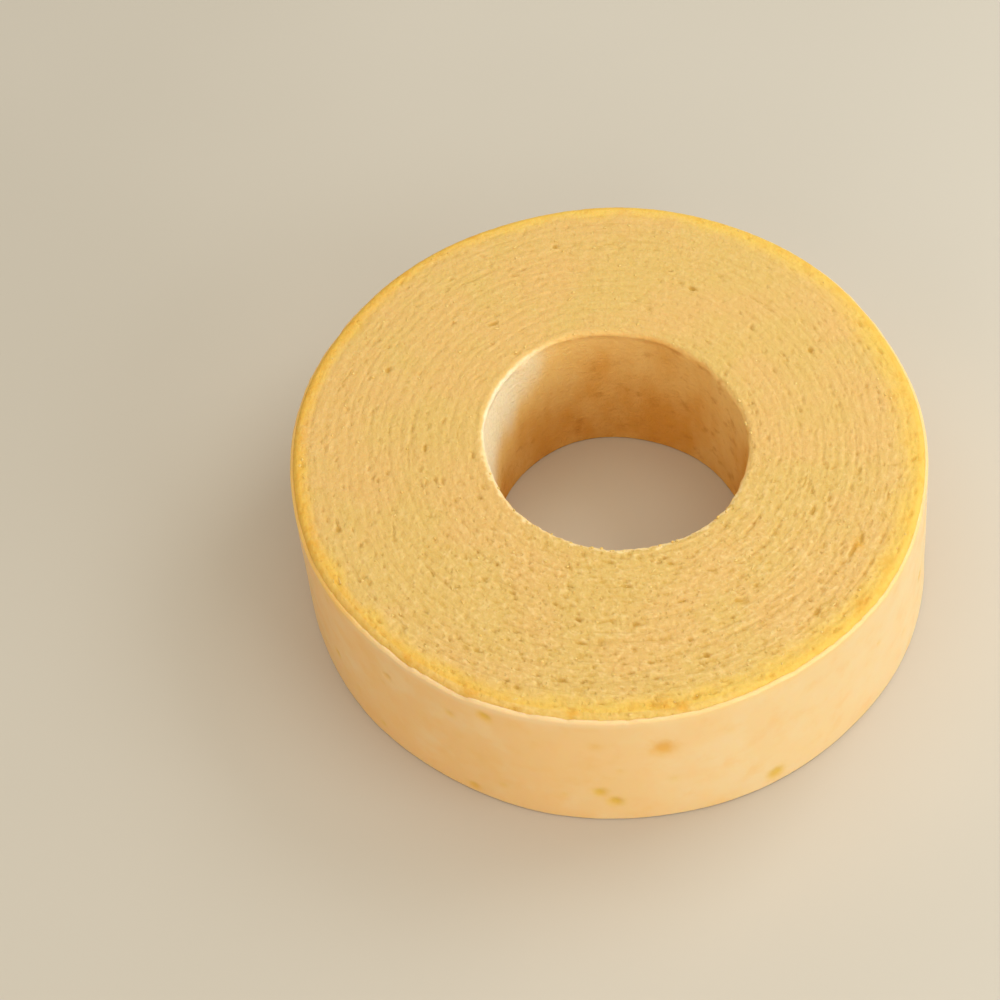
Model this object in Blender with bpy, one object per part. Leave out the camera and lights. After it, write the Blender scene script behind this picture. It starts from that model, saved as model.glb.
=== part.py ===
"""A baumkuchen ring: a spit-baked layer cake cut from its log, with a thin sugar glaze round its side.

The ring lies on its lower cut face. The origin is the centre of its outline on that face, and +Z
points up through the hole. The baked layers run from the hole's wall to the outer wall and show on both
cut faces. Sizes are in millimetres until the points are made.
"""

import math
import random

import bmesh
import bpy
from mathutils import Matrix, Vector

MM = 0.001

# Driving sizes
OUTER_DIAMETER = 150.0
HOLE_DIAMETER = 62.0
HEIGHT = 43.0
BAKED_LAYERS = 16
GLAZE_THICKNESS = 0.9
GLAZE_CLEARANCE = 0.3
LEAN = 1.2
POINTS_ROUND = 60
SEED = 16

# Cut faces: a shallow groove marks the skin where one baked layer meets the next
GROOVE_DEPTH = 0.45
GROOVE_WIDTH = 0.75
BOTTOM_GROOVE_STEP = 2
LAYER_UNEVENNESS = 0.16
LAYER_WANDER = 0.35
TOP_SWELL = 0.35

# Edges and walls
RIM_ROUND = 1.3
HOLE_EDGE_ROUND = 0.7
CORNER_STEPS = 3
WALL_STEPS = 3

# Glaze
GLAZE_BOTTOM = 0.8
GLAZE_TOP_DROP = 0.45
GLAZE_ROWS = 5

# Air bubbles that the knife opened in the upper face, and gaps that they left in the glaze
PIT_DEPTH_SHARE = 0.6
PIT_TURN = 0.35
CRUMB_PITS = (
    # degrees round the ring, distance from the axis, length, width
    (-104.2, 64.3, 2.8, 1.2),
    (-123.1, 62.7, 2.0, 1.1),
    (-114.0, 59.5, 1.4, 1.0),
    (-112.4, 68.1, 1.7, 1.3),
    (-73.5, 61.5, 2.0, 1.4),
    (-86.6, 70.8, 2.0, 1.2),
    (-78.6, 70.9, 2.2, 1.3),
    (-48.8, 65.9, 2.3, 1.4),
    (-32.1, 63.2, 3.2, 1.1),
    (-25.5, 50.7, 3.2, 1.0),
    (-20.7, 53.2, 1.9, 1.0),
    (-60.0, 51.8, 2.3, 1.0),
    (-53.6, 51.2, 2.2, 1.0),
    (25.9, 56.1, 2.2, 1.4),
    (-123.7, 45.2, 1.9, 1.0),
    (-110.4, 44.4, 1.7, 1.0),
    (-70.9, 35.2, 1.9, 1.0),
    (-88.9, 38.5, 3.6, 0.9),
    (-101.2, 54.0, 3.2, 1.0),
    (-87.6, 49.1, 1.9, 1.3),
    (62.0, 52.0, 2.4, 1.2),
    (97.0, 63.0, 1.8, 1.3),
    (121.0, 47.0, 2.6, 1.1),
    (150.0, 58.0, 2.0, 1.3),
    (173.0, 43.0, 2.2, 1.1),
    (-166.0, 66.0, 2.2, 1.2),
)
GLAZE_GAP_SIDES = 8
GLAZE_GAPS = (
    # degrees round the ring, height, width
    (-116.8, 37.9, 2.2),
    (-121.1, 2.9, 2.0),
    (-97.3, 12.4, 2.1),
    (-94.7, 8.4, 2.3),
    (-85.7, 30.6, 3.0),
    (-65.2, 4.6, 2.6),
    (-138.0, 30.7, 1.8),
    (-123.9, 32.3, 1.8),
    (-20.0, 18.0, 2.2),
    (38.0, 27.0, 2.4),
    (84.0, 13.0, 2.0),
    (131.0, 31.0, 2.8),
    (172.0, 20.0, 2.2),
)

# Unevenness of the outlines: order, size in mm, phase in degrees, turn in degrees from top to foot
HOLE_WAVES = ((1, 4.0, 56.0, 0.0), (2, 1.0, -114.0, -15.0), (3, 0.3, -60.0, 60.0), (7, 0.15, 40.0, -70.0))
WALL_WAVES = ((2, 0.12, -136.0, 40.0), (3, 0.15, -141.0, -50.0), (4, 0.15, -105.0, 60.0), (9, 0.14, 20.0, 90.0))
TOP_WAVES = ((1, 0.4, 20.0, 0.0), (3, 0.25, 110.0, 0.0), (5, 0.2, -60.0, 0.0))

CRUMB_COLOUR = (0.80, 0.53, 0.19)
CRUMB_ROUGHNESS = 0.75
GLAZE_COLOUR = (0.90, 0.69, 0.40)
GLAZE_ROUGHNESS = 0.35


def clear_scene():
    """Removes every object that the file starts with."""
    for thing in list(bpy.data.objects):
        bpy.data.objects.remove(thing, do_unlink=True)


def material(name, colour, roughness):
    """A plain surface of one colour."""
    made = bpy.data.materials.new(name)
    made.use_nodes = True
    surface = made.node_tree.nodes["Principled BSDF"]
    surface.inputs["Base Color"].default_value = (*colour, 1.0)
    surface.inputs["Roughness"].default_value = roughness
    surface.inputs["Metallic"].default_value = 0.0
    return made


def wave(waves, angle, height):
    """The sum of the waves at an angle in radians and a height in mm."""
    drop = 1.0 - height / HEIGHT
    return sum(
        size * math.cos(order * angle - math.radians(phase + turn * drop))
        for order, size, phase, turn in waves
    )


def hole_radius(angle, height):
    """The hole's wall: slightly oval and off centre, because the soft log sags on its spit."""
    return HOLE_DIAMETER / 2 + wave(HOLE_WAVES, angle, height)


def cake_radius(angle, height):
    """The baked outer wall, under the glaze."""
    bare = OUTER_DIAMETER / 2 - GLAZE_THICKNESS - GLAZE_CLEARANCE
    return bare + wave(WALL_WAVES, angle, height)


def around(angle, radius, height):
    """A point at an angle, a distance from the ring's axis and a height, in metres.

    The axis leans a little towards -X at the top, because the log was cut slightly askew.
    """
    axis = LEAN * (0.5 - height / HEIGHT)
    return Vector((axis + radius * math.cos(angle), radius * math.sin(angle), height)) * MM


def layer_edges(draw):
    """Where each baked layer ends, as shares of the way from the hole's wall to the outer wall."""
    widths = [1.0 + draw.uniform(-LAYER_UNEVENNESS, LAYER_UNEVENNESS) for _ in range(BAKED_LAYERS)]
    total = sum(widths)
    edges = [0.0]
    for width in widths:
        edges.append(edges[-1] + width / total)
    return edges


def face_rows(edges, step):
    """Rows across a cut face from the hole outwards: (share, outward shift, depth below the face).

    Each groove has three rows: its two lips and its foot. Between grooves the face is level.
    """
    rows = []
    for edge in edges[step:-1:step]:
        rows.append((edge, -GROOVE_WIDTH / 2, 0.0))
        rows.append((edge, 0.0, GROOVE_DEPTH))
        rows.append((edge, GROOVE_WIDTH / 2, 0.0))
    return rows


def corner_rows(share, radius, outward):
    """Rows round a corner, from the wall to the face: (share, outward shift, depth below the face)."""
    rows = []
    for step in range(CORNER_STEPS):
        turn = math.radians(90.0 * step / (CORNER_STEPS - 1))
        rows.append((share, outward * radius * (math.cos(turn) - 1.0), radius * (1.0 - math.sin(turn))))
    return rows


def cross_section(edges):
    """The cake's cross section as one closed run of rows: (share, outward shift, height, swell)."""
    hole_corner = corner_rows(0.0, HOLE_EDGE_ROUND, -1.0)
    rim_corner = corner_rows(1.0, RIM_ROUND, 1.0)
    top = hole_corner + face_rows(edges, 1) + rim_corner[::-1]
    bottom = hole_corner + face_rows(edges, BOTTOM_GROOVE_STEP) + rim_corner[::-1]
    wall_heights = [HEIGHT * step / (WALL_STEPS + 1) for step in range(1, WALL_STEPS + 1)]
    rows = [(share, shift, HEIGHT - depth, 1.0) for share, shift, depth in top]
    rows += [(1.0, 0.0, height, 0.0) for height in wall_heights[::-1]]
    rows += [(share, shift, depth, 0.0) for share, shift, depth in bottom[::-1]]
    rows += [(0.0, 0.0, height, 0.0) for height in wall_heights]
    return rows


def cake_point(row, angle):
    """A point of the cake's surface, in metres."""
    share, shift, height, swell = row
    inner = hole_radius(angle, height)
    outer = cake_radius(angle, height)
    middle = math.sin(math.pi * share)
    wander = LAYER_WANDER * middle * math.cos(3.0 * angle + 9.0 * share)
    radius = inner + (outer - inner) * share + shift + wander
    level = height + swell * middle * TOP_SWELL * wave(TOP_WAVES, angle, 0.0)
    return around(angle, radius, level)


def ring_mesh(name, rows, point):
    """A closed ring: each row is carried round the axis, and neighbouring rows are joined."""
    shape = bmesh.new()
    angles = [2.0 * math.pi * step / POINTS_ROUND for step in range(POINTS_ROUND)]
    loops = [[shape.verts.new(point(row, angle)) for angle in angles] for row in rows]
    for first, second in zip(loops, loops[1:] + loops[:1]):
        for here in range(POINTS_ROUND):
            after = (here + 1) % POINTS_ROUND
            shape.faces.new((first[here], second[here], second[after], first[after]))
    bmesh.ops.recalc_face_normals(shape, faces=shape.faces)
    mesh = bpy.data.meshes.new(name)
    shape.to_mesh(mesh)
    shape.free()
    return mesh


def place(name, mesh, finish=None):
    """Puts a mesh in the scene as an object of its own."""
    thing = bpy.data.objects.new(name, mesh)
    bpy.context.scene.collection.objects.link(thing)
    if finish:
        mesh.materials.append(finish)
    return thing


def round_shading(mesh):
    """Smooth shading that keeps the groove lips and the cut edges crisp."""
    mesh.shade_smooth()
    mesh.set_sharp_from_angle(angle=math.radians(28.0))


def cut_with(thing, cutter, name):
    """Takes the cutter's shapes out of a solid. The cutter itself is never part of the cake."""
    cutter.hide_render = True
    cutter.display_type = "WIRE"
    cut = thing.modifiers.new(name, "BOOLEAN")
    cut.operation = "DIFFERENCE"
    cut.solver = "EXACT"
    cut.object = cutter


def crumb_pits(draw):
    """Long shallow hollows that roughly follow the layers, joined in one cutter."""
    shape = bmesh.new()
    for degrees, distance, length, width in CRUMB_PITS:
        angle = math.radians(degrees)
        inner, outer = hole_radius(angle, HEIGHT), cake_radius(angle, HEIGHT)
        centre = cake_point(((distance - inner) / (outer - inner), 0.0, HEIGHT, 1.0), angle)
        size = Matrix.Diagonal((width / 2 * MM, length / 2 * MM, width * PIT_DEPTH_SHARE * MM, 1.0))
        turn = Matrix.Rotation(angle + draw.uniform(-PIT_TURN, PIT_TURN), 4, "Z")
        bmesh.ops.create_icosphere(
            shape, subdivisions=1, radius=1.0, matrix=Matrix.Translation(centre) @ turn @ size
        )
    mesh = bpy.data.meshes.new("crumb_pits")
    shape.to_mesh(mesh)
    shape.free()
    return mesh


def glaze_gaps():
    """Short bars through the glaze wherever a bubble left the cake bare, joined in one cutter."""
    shape = bmesh.new()
    reach = 2.0 * (GLAZE_THICKNESS + GLAZE_CLEARANCE)
    for degrees, height, width in GLAZE_GAPS:
        angle = math.radians(degrees)
        spot = around(angle, cake_radius(angle, height) + GLAZE_CLEARANCE + GLAZE_THICKNESS / 2, height)
        lie = Matrix.Rotation(angle, 4, "Z") @ Matrix.Rotation(math.pi / 2, 4, "Y")
        bmesh.ops.create_cone(
            shape,
            cap_ends=True,
            segments=GLAZE_GAP_SIDES,
            radius1=width / 2 * MM,
            radius2=width / 2 * MM,
            depth=reach * MM,
            matrix=Matrix.Translation(spot) @ lie,
        )
    mesh = bpy.data.meshes.new("glaze_gaps")
    shape.to_mesh(mesh)
    shape.free()
    return mesh


def glaze_rows():
    """The glaze's cross section: up its inner side, over its soft edge and down its outer side."""
    top = HEIGHT - GLAZE_TOP_DROP
    soft = GLAZE_THICKNESS * 0.4
    heights = [GLAZE_BOTTOM + (top - soft - GLAZE_BOTTOM) * step / (GLAZE_ROWS - 1) for step in range(GLAZE_ROWS)]
    inner = [(0.0, height) for height in heights[:-1]] + [(0.0, top - soft / 2)]
    crown = [(GLAZE_THICKNESS * 0.35, top), (GLAZE_THICKNESS * 0.75, top - soft * 0.3)]
    outer = [(GLAZE_THICKNESS, height) for height in heights[::-1]]
    return inner + crown + outer


def glaze_point(row, angle):
    """A point of the glaze's surface, in metres."""
    out, height = row
    return around(angle, cake_radius(angle, height) + GLAZE_CLEARANCE + out, height)


def build_cake():
    """The baked cake, from the hole's wall to the outer wall."""
    draw = random.Random(SEED)
    mesh = ring_mesh("cake_ring", cross_section(layer_edges(draw)), cake_point)
    round_shading(mesh)
    cake = place("cake_ring", mesh, material("golden crumb", CRUMB_COLOUR, CRUMB_ROUGHNESS))
    cut_with(cake, place("pit_cutter", crumb_pits(draw)), "opened bubbles")


def build_glaze():
    """The thin sugar glaze round the side, clear of the cake and of the floor."""
    mesh = ring_mesh("sugar_glaze", glaze_rows(), glaze_point)
    round_shading(mesh)
    glaze = place("sugar_glaze", mesh, material("sugar glaze", GLAZE_COLOUR, GLAZE_ROUGHNESS))
    cut_with(glaze, place("gap_cutter", glaze_gaps()), "gaps over bubbles")


def main():
    """Builds the cake and its glaze."""
    clear_scene()
    build_cake()
    build_glaze()


main()
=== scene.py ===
"""A baumkuchen ring, dressed: golden crumb baked in rings, a browned hole and a thin sugar glaze.

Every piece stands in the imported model's frame. Sizes are in millimetres until MM turns them into metres
where a mesh is made. Lamps, the camera and the floor are placed in metres. Size fields hold angles in
degrees, and arrays hold them in radians.
"""

import logging
import math
import random
from dataclasses import dataclass
from enum import Enum

import bmesh
import bpy
import numpy as np
from mathutils import Euler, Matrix, Quaternion, Vector, kdtree, noise


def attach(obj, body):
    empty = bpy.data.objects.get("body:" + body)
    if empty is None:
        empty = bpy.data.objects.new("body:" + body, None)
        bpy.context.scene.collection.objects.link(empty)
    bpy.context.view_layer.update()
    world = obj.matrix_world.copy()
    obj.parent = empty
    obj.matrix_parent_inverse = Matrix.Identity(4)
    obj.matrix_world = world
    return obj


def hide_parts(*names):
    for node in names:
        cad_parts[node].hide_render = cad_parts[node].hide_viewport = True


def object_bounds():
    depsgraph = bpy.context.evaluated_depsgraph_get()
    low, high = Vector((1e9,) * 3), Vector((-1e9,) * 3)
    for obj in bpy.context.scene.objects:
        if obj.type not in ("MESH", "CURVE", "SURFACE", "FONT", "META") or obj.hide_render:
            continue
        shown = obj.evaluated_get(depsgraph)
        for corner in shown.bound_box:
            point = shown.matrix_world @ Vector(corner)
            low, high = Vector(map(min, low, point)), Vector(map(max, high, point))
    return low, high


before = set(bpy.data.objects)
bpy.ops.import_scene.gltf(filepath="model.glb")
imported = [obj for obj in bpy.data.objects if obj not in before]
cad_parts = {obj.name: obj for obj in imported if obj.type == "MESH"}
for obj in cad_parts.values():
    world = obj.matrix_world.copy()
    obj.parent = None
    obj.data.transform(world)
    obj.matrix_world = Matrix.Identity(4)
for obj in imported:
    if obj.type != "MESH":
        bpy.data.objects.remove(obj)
CAD_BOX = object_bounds()

MM = 0.001
METRE = 1.0 / MM
BODY = "root"
BOX_MARGIN = 0.01
SEED_STEP = 17.3
# most of a shader noise's values lie between these
NOISE_SPAN = (0.3, 0.7)
LOG = logging.getLogger("baumkuchen")

Span = tuple[float, float]
Triple = tuple[float, float, float]
Colour = Triple
Socket = bpy.types.NodeSocket


class Zone(Enum):
    """The surface that a row of points belongs to."""

    TOP = 0
    SIDE = 1
    UNDER = 2
    HOLE = 3


class Trace(Enum):
    """What a mesh tells its finish at each point. The values are the attributes' names."""

    # painted shade in the opened pores
    PORE_SHADE = "pore"
    # painted highlight on the folds' ridges and painted shade in their hollows
    FOLD_SHADING = "fold_shading"
    LAYER_LINE = "layer_line"
    # the cake's soaked rim, and the glaze lip's painted highlight
    SOAKED_AND_LIT_LIP = "soaked_rim_and_lit_lip"
    BAKED_SKIN = "baked_skin"
    # the hole wall's pale patch: partly paler skin, partly painted window light
    PALE_LIT_SKIN = "pale_lit_skin"
    # painted highlight on the hole's rounded edge
    EDGE_HIGHLIGHT = "edge_highlight"
    # browned marks, orange in the glaze's pits, and painted shade on the cake's shaded rim
    CARAMEL_AND_SHADE = "caramel_and_shade"
    BARE_CAKE = "bare_cake"
    COARSE = "coarse_crumb"
    # the glaze's paler window side: partly cloudier glaze, partly painted light
    LIT_WASH = "lit_wash_side"
    THIN_LIP = "thin_lip"
    RING_PLACE = "ring_place"


class Lodging(Enum):
    """Where a loose crumb was left by the knife."""

    FACE = "face"
    SHRED = "shred"
    HOLE_EDGE = "hole edge"
    RIM = "rim"


def soft_step(values: np.ndarray, low: float, high: float) -> np.ndarray:
    """Runs smoothly from 0 at low to 1 at high."""
    part = np.clip((values - low) / (high - low), 0.0, 1.0)
    return part * part * (3.0 - 2.0 * part)


def lumps(places: np.ndarray, size: float, seed: int, octaves: int = 1) -> np.ndarray:
    """Smooth noise from about -1 to 1. Each octave's lumps are half as wide as the last one's."""
    spots = (places / size + SEED_STEP * seed).tolist()
    return np.array([noise.fractal(Vector(spot), 1.0, 2.0, octaves) for spot in spots])


def between(span: Span, part: float) -> float:
    """The value a part of the way from one end of a span to the other."""
    return span[0] + (span[1] - span[0]) * part


@dataclass(frozen=True)
class Unevenness:
    """Smooth unevenness. A squeeze below 1 stretches its lumps along the third axis."""

    strength: float
    size: float
    seed: int
    octaves: int = 1
    squeeze: float = 1.0

    def at(self, places: np.ndarray) -> np.ndarray:
        """Its value at each place."""
        squeezed = places * (1.0, 1.0, self.squeeze)
        return self.strength * lumps(squeezed, self.size, self.seed, self.octaves)


@dataclass(frozen=True)
class Wave:
    """A soft wave in an outline. It turns a little on the way from the top to the foot."""

    order: int
    size: float
    phase: float
    turn: float


@dataclass(frozen=True)
class RingForm:
    """The ring's outlines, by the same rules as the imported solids."""

    outer_diameter: float = 150.0
    hole_diameter: float = 62.0
    height: float = 43.0
    lean: float = 1.2
    glaze_thickness: float = 0.9
    glaze_clearance: float = 0.3
    baked_layers: int = 16
    layer_unevenness: float = 0.16
    layer_wander: float = 0.35
    wander_waves: float = 3.0
    wander_twist: float = 9.0
    top_swell: float = 0.35
    seed: int = 16
    hole_waves: tuple[Wave, ...] = (
        Wave(1, 4.0, 56.0, 0.0),
        Wave(2, 1.0, -114.0, -15.0),
        Wave(3, 0.3, -60.0, 60.0),
        Wave(7, 0.15, 40.0, -70.0),
    )
    wall_waves: tuple[Wave, ...] = (
        Wave(2, 0.12, -136.0, 40.0),
        Wave(3, 0.15, -141.0, -50.0),
        Wave(4, 0.15, -105.0, 60.0),
        Wave(9, 0.14, 20.0, 90.0),
    )
    top_waves: tuple[Wave, ...] = (
        Wave(1, 0.4, 20.0, 0.0),
        Wave(3, 0.25, 110.0, 0.0),
        Wave(5, 0.2, -60.0, 0.0),
    )

    @property
    def bare_radius(self) -> float:
        """The cake's mean outer radius under its glaze."""
        return self.outer_diameter / 2.0 - self.glaze_thickness - self.glaze_clearance

    @property
    def wall(self) -> float:
        """The mean way from the hole to the outer wall."""
        return self.bare_radius - self.hole_diameter / 2.0

    def swing(self, waves: tuple[Wave, ...], angle: np.ndarray, height: np.ndarray) -> np.ndarray:
        """Adds up the waves of an outline.

        Args:
            waves: The outline's waves.
            angle: Angles round the ring.
            height: Heights above the lower cut face.

        Returns:
            How far the outline stands out at each angle and height.
        """
        drop = 1.0 - height / self.height
        parts = [
            wave.size * np.cos(wave.order * angle - np.radians(wave.phase + wave.turn * drop))
            for wave in waves
        ]
        return np.sum(parts, axis=0)

    def hole_radius(self, angle: np.ndarray, height: np.ndarray) -> np.ndarray:
        """The hole's wall, slightly oval and off centre."""
        return self.hole_diameter / 2.0 + self.swing(self.hole_waves, angle, height)

    def cake_radius(self, angle: np.ndarray, height: np.ndarray) -> np.ndarray:
        """The baked outer wall, under the glaze."""
        return self.bare_radius + self.swing(self.wall_waves, angle, height)

    def axis(self, height: np.ndarray) -> np.ndarray:
        """How far the ring's axis has moved towards +X at a height."""
        return self.lean * (0.5 - height / self.height)

    def layer_edges(self) -> np.ndarray:
        """Where the layers meet, as distances from the hole's wall. The two walls are left out.

        Returns:
            The distances, from the hole outwards.
        """
        draw = random.Random(self.seed)
        spread = self.layer_unevenness
        widths = [1.0 + draw.uniform(-spread, spread) for _ in range(self.baked_layers)]
        return np.cumsum(widths)[:-1] / sum(widths) * self.wall

    def radius(self, share: np.ndarray, angle: np.ndarray, height: np.ndarray) -> np.ndarray:
        """Finds the distance from the axis.

        Args:
            share: 0 at the hole's wall and 1 at the outer wall.
            angle: Angles round the ring.
            height: Heights above the lower cut face.

        Returns:
            The distance from the axis at each place.
        """
        inner = self.hole_radius(angle, height)
        outer = self.cake_radius(angle, height)
        wave = np.cos(self.wander_waves * angle + self.wander_twist * share)
        return inner + (outer - inner) * share + self.layer_wander * np.sin(math.pi * share) * wave

    def swell(self, share: np.ndarray, angle: np.ndarray) -> np.ndarray:
        """How far the upper face bulges above its mean height."""
        return self.top_swell * np.sin(math.pi * share) * self.swing(self.top_waves, angle, 0.0)


@dataclass(frozen=True)
class Row:
    """A closed row of points round the ring.

    The share runs from 0 at the hole's wall to 1 at the outer wall, and shift moves the row outwards from
    there. Facing is the way that the surface looks: 0 outwards, 90 up and 180 into the hole.
    """

    share: float
    shift: float
    height: float
    facing: float
    count: int
    zone: Zone
    swell: float = 0.0


class RingGrid:
    """Rows of points round the ring, joined into one closed surface.

    Its arrays hold one value for each point, so relief and traces are worked out for all of them at once.
    """

    ring_reach = 50.0
    ring_stretch = 4.5

    def __init__(self, form: RingForm, rows: list[Row]) -> None:
        """Places the points.

        Args:
            form: The ring's outlines.
            rows: The cross section, outwards over the top and inwards under the foot.
        """
        self.form = form
        self.rows = rows
        counts = [row.count for row in rows]
        self.starts = (np.cumsum(counts) - counts).tolist()
        self.angle = np.concatenate([np.arange(count) * (2.0 * math.pi / count) for count in counts])
        self.share = np.repeat([row.share for row in rows], counts)
        self.height = np.repeat([row.height for row in rows], counts)
        self.facing = np.radians(np.repeat([row.facing for row in rows], counts))
        self.zone = np.repeat([row.zone.value for row in rows], counts)
        shift = np.repeat([row.shift for row in rows], counts)
        swell = np.repeat([row.swell for row in rows], counts)
        self.radius = form.radius(self.share, self.angle, self.height) + shift
        self.level = self.height + swell * form.swell(self.share, self.angle)
        self.relief = np.zeros(len(self.angle))
        self.traces: dict[Trace, np.ndarray] = {}

    def within(self, *zones: Zone) -> np.ndarray:
        """True for the points of these zones."""
        return np.isin(self.zone, [zone.value for zone in zones])

    def places(self) -> np.ndarray:
        """The points in millimetres, with their relief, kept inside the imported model's box.

        Returns:
            One point in each row.
        """
        radius = self.radius + self.relief * np.cos(self.facing)
        level = self.level + self.relief * np.sin(self.facing)
        axis = self.form.axis(self.height)
        points = np.column_stack((axis + radius * np.cos(self.angle), radius * np.sin(self.angle), level))
        lowest, highest = (np.array(corner) / MM for corner in CAD_BOX)
        return np.clip(points, lowest + BOX_MARGIN, highest - BOX_MARGIN)

    def off(self, degrees: float) -> np.ndarray:
        """The angle from a bearing to each point, from -pi to pi."""
        return (self.angle - math.radians(degrees) + math.pi) % (2.0 * math.pi) - math.pi

    def nearness(self, degrees: float) -> np.ndarray:
        """How near each point is to a bearing: 1 there and -1 on the far side."""
        return np.cos(self.angle - math.radians(degrees))

    def drum(self, radius: float, across: np.ndarray) -> np.ndarray:
        """The points on a round drum, each at its own place across it."""
        return np.column_stack((radius * np.cos(self.angle), radius * np.sin(self.angle), across))

    def ring_places(self) -> np.ndarray:
        """The points on a drum, where patterns run along the baked layers and have no seam."""
        return self.drum(self.ring_reach, self.ring_stretch * (self.radius + self.height))

    def note(self, trace: Trace, values: np.ndarray) -> None:
        """Keeps the larger of the values given so far for a trace."""
        known = self.traces.get(trace, np.zeros(len(self.angle)))
        self.traces[trace] = np.maximum(known, values)

    def faces(self) -> list[tuple[int, ...]]:
        """The faces between neighbouring rows, looking out.

        Returns:
            The faces, as point numbers.
        """
        found = []
        for row, start in enumerate(self.starts):
            after = (row + 1) % len(self.rows)
            found += joined(start, self.rows[row].count, self.starts[after], self.rows[after].count)
        return found

    def mesh(self, name: str) -> bpy.types.Mesh:
        """Makes the mesh and gives it its traces.

        Args:
            name: The mesh's name.

        Returns:
            A closed mesh in metres.
        """
        mesh = smooth_mesh(name, self.places(), self.faces())
        for trace, values in self.traces.items():
            layer = mesh.attributes.new(trace.value, "FLOAT", "POINT")
            layer.data.foreach_set("value", values.astype(np.float32))
        ring = mesh.attributes.new(Trace.RING_PLACE.value, "FLOAT_VECTOR", "POINT")
        ring.data.foreach_set("vector", self.ring_places().astype(np.float32).ravel())
        return mesh


def joined(first: int, first_count: int, second: int, second_count: int) -> list[tuple[int, ...]]:
    """Joins two rows, with four-sided faces if they have the same count and with triangles otherwise.

    Args:
        first: The number of the first row's first point.
        first_count: How many points the first row has.
        second: The number of the second row's first point.
        second_count: How many points the second row has.

    Returns:
        The faces, as point numbers.
    """
    if first_count == second_count:
        after = [*range(1, first_count), 0]
        return [
            (first + here, second + here, second + there, first + there)
            for here, there in enumerate(after)
        ]
    faces = []
    here = there = 0
    while here < first_count or there < second_count:
        near, far = first + here % first_count, second + there % second_count
        if (here + 1) / first_count <= (there + 1) / second_count:
            here += 1
            faces.append((near, far, first + here % first_count))
        else:
            there += 1
            faces.append((near, far, second + there % second_count))
    return faces


@dataclass(frozen=True)
class Side:
    """One side of the ring, round a bearing, with the nearness where it starts and where it is full."""

    bearing: float
    start: float
    full: float

    def share(self, grid: RingGrid) -> np.ndarray:
        """How far each point belongs to this side, from 0 to 1."""
        return soft_step(grid.nearness(self.bearing), self.start, self.full)


def smooth_mesh(name: str, points: np.ndarray, faces: list[tuple[int, ...]]) -> bpy.types.Mesh:
    """Makes a mesh that is shaded smooth.

    Args:
        name: The mesh's name.
        points: Its points in millimetres, one in each row.
        faces: Its faces, as point numbers.

    Returns:
        The mesh, in metres.
    """
    mesh = bpy.data.meshes.new(name)
    mesh.from_pydata((points * MM).tolist(), [], faces)
    mesh.shade_smooth()
    return mesh


def flat_tree(points: np.ndarray, chosen: np.ndarray) -> kdtree.KDTree:
    """Sorts points by where they lie as seen from above, so that those near a place are found fast.

    Args:
        points: Points in millimetres, one in each row.
        chosen: The numbers of those that are sorted.

    Returns:
        The sorted points, all at height 0.
    """
    tree = kdtree.KDTree(len(chosen))
    for number in chosen.tolist():
        tree.insert((points[number, 0], points[number, 1], 0.0), number)
    tree.balance()
    return tree


@dataclass(frozen=True)
class Hollow:
    """A bubble that the knife opened, or a raised crumb if its depth is below zero."""

    degrees: float
    distance: float
    length: float
    width: float
    depth: float
    turn: float = 0.0
    # how much painted shade the hollow gets
    darkness: float = 1.0


@dataclass(frozen=True)
class Scatter:
    """Hollows of one kind that are scattered over a cut face. Raised crumbs have a depth below zero."""

    count: int
    margin: float
    length: Span
    width: Span
    depth: Span
    turn: float = 0.0
    # how much painted shade each hollow gets
    shade: float = 0.0


class CrumbPress:
    """Presses hollows into one face of the ring."""

    lip_height = 0.14
    lip_start = 1.0
    lip_end = 1.7
    lip_blend = 0.1
    wall_steepness = 0.65
    ragged_outline = Unevenness(0.38, 0.9, 5)

    def __init__(self, grid: RingGrid, zone: Zone) -> None:
        """Gets one face of the ring ready.

        Args:
            grid: The ring's points.
            zone: The face that is worked on.
        """
        self.grid = grid
        self.points = grid.places()
        self.ragged = self.ragged_outline.at(self.points)
        chosen = np.flatnonzero(grid.within(zone))
        self.tree = flat_tree(self.points, chosen)
        self.axis = float(grid.form.axis(self.points[chosen, 2].mean()))

    def spot(self, degrees: float, distance: float) -> tuple[float, float]:
        """Turns an angle and a distance from the axis into x and y."""
        angle = math.radians(degrees)
        return self.axis + distance * math.cos(angle), distance * math.sin(angle)

    def press(self, hollow: Hollow) -> None:
        """Lowers the points inside a hollow, lifts a low lip round it, and marks how much painted shade
        fills the hollow.

        Args:
            hollow: What to press.
        """
        x, y = self.spot(hollow.degrees, hollow.distance)
        reach = hollow.length / 2.0 * self.lip_end
        found = [number for _, number, _ in self.tree.find_range((x, y, 0.0), reach)]
        if not found:
            return
        angle = math.radians(hollow.degrees + hollow.turn)
        dx, dy = self.points[found, 0] - x, self.points[found, 1] - y
        along = (dy * math.cos(angle) - dx * math.sin(angle)) / (hollow.length / 2.0)
        across = (dx * math.cos(angle) + dy * math.sin(angle)) / (hollow.width / 2.0)
        out = np.hypot(along, across) * (1.0 + self.ragged[found])
        bowl = np.clip(1.0 - out * out, 0.0, 1.0) ** self.wall_steepness
        lip = soft_step(out, self.lip_start - self.lip_blend, self.lip_start + self.lip_blend)
        lip *= 1.0 - soft_step(out, self.lip_start + self.lip_blend, self.lip_end)
        raised = self.lip_height * abs(hollow.depth) * lip
        self.grid.relief[found] += raised - hollow.depth * bowl
        shade = np.zeros(len(self.grid.angle))
        shade[found] = hollow.darkness * bowl
        self.grid.note(Trace.PORE_SHADE, shade)


@dataclass(frozen=True)
class Noise:
    """Shader noise.

    Its size is its lumps' width in millimetres. Detail is how many finer patterns it has, and roughness is
    how strong they are.
    """

    size: float
    detail: float = 2.0
    roughness: float = 0.5


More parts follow.
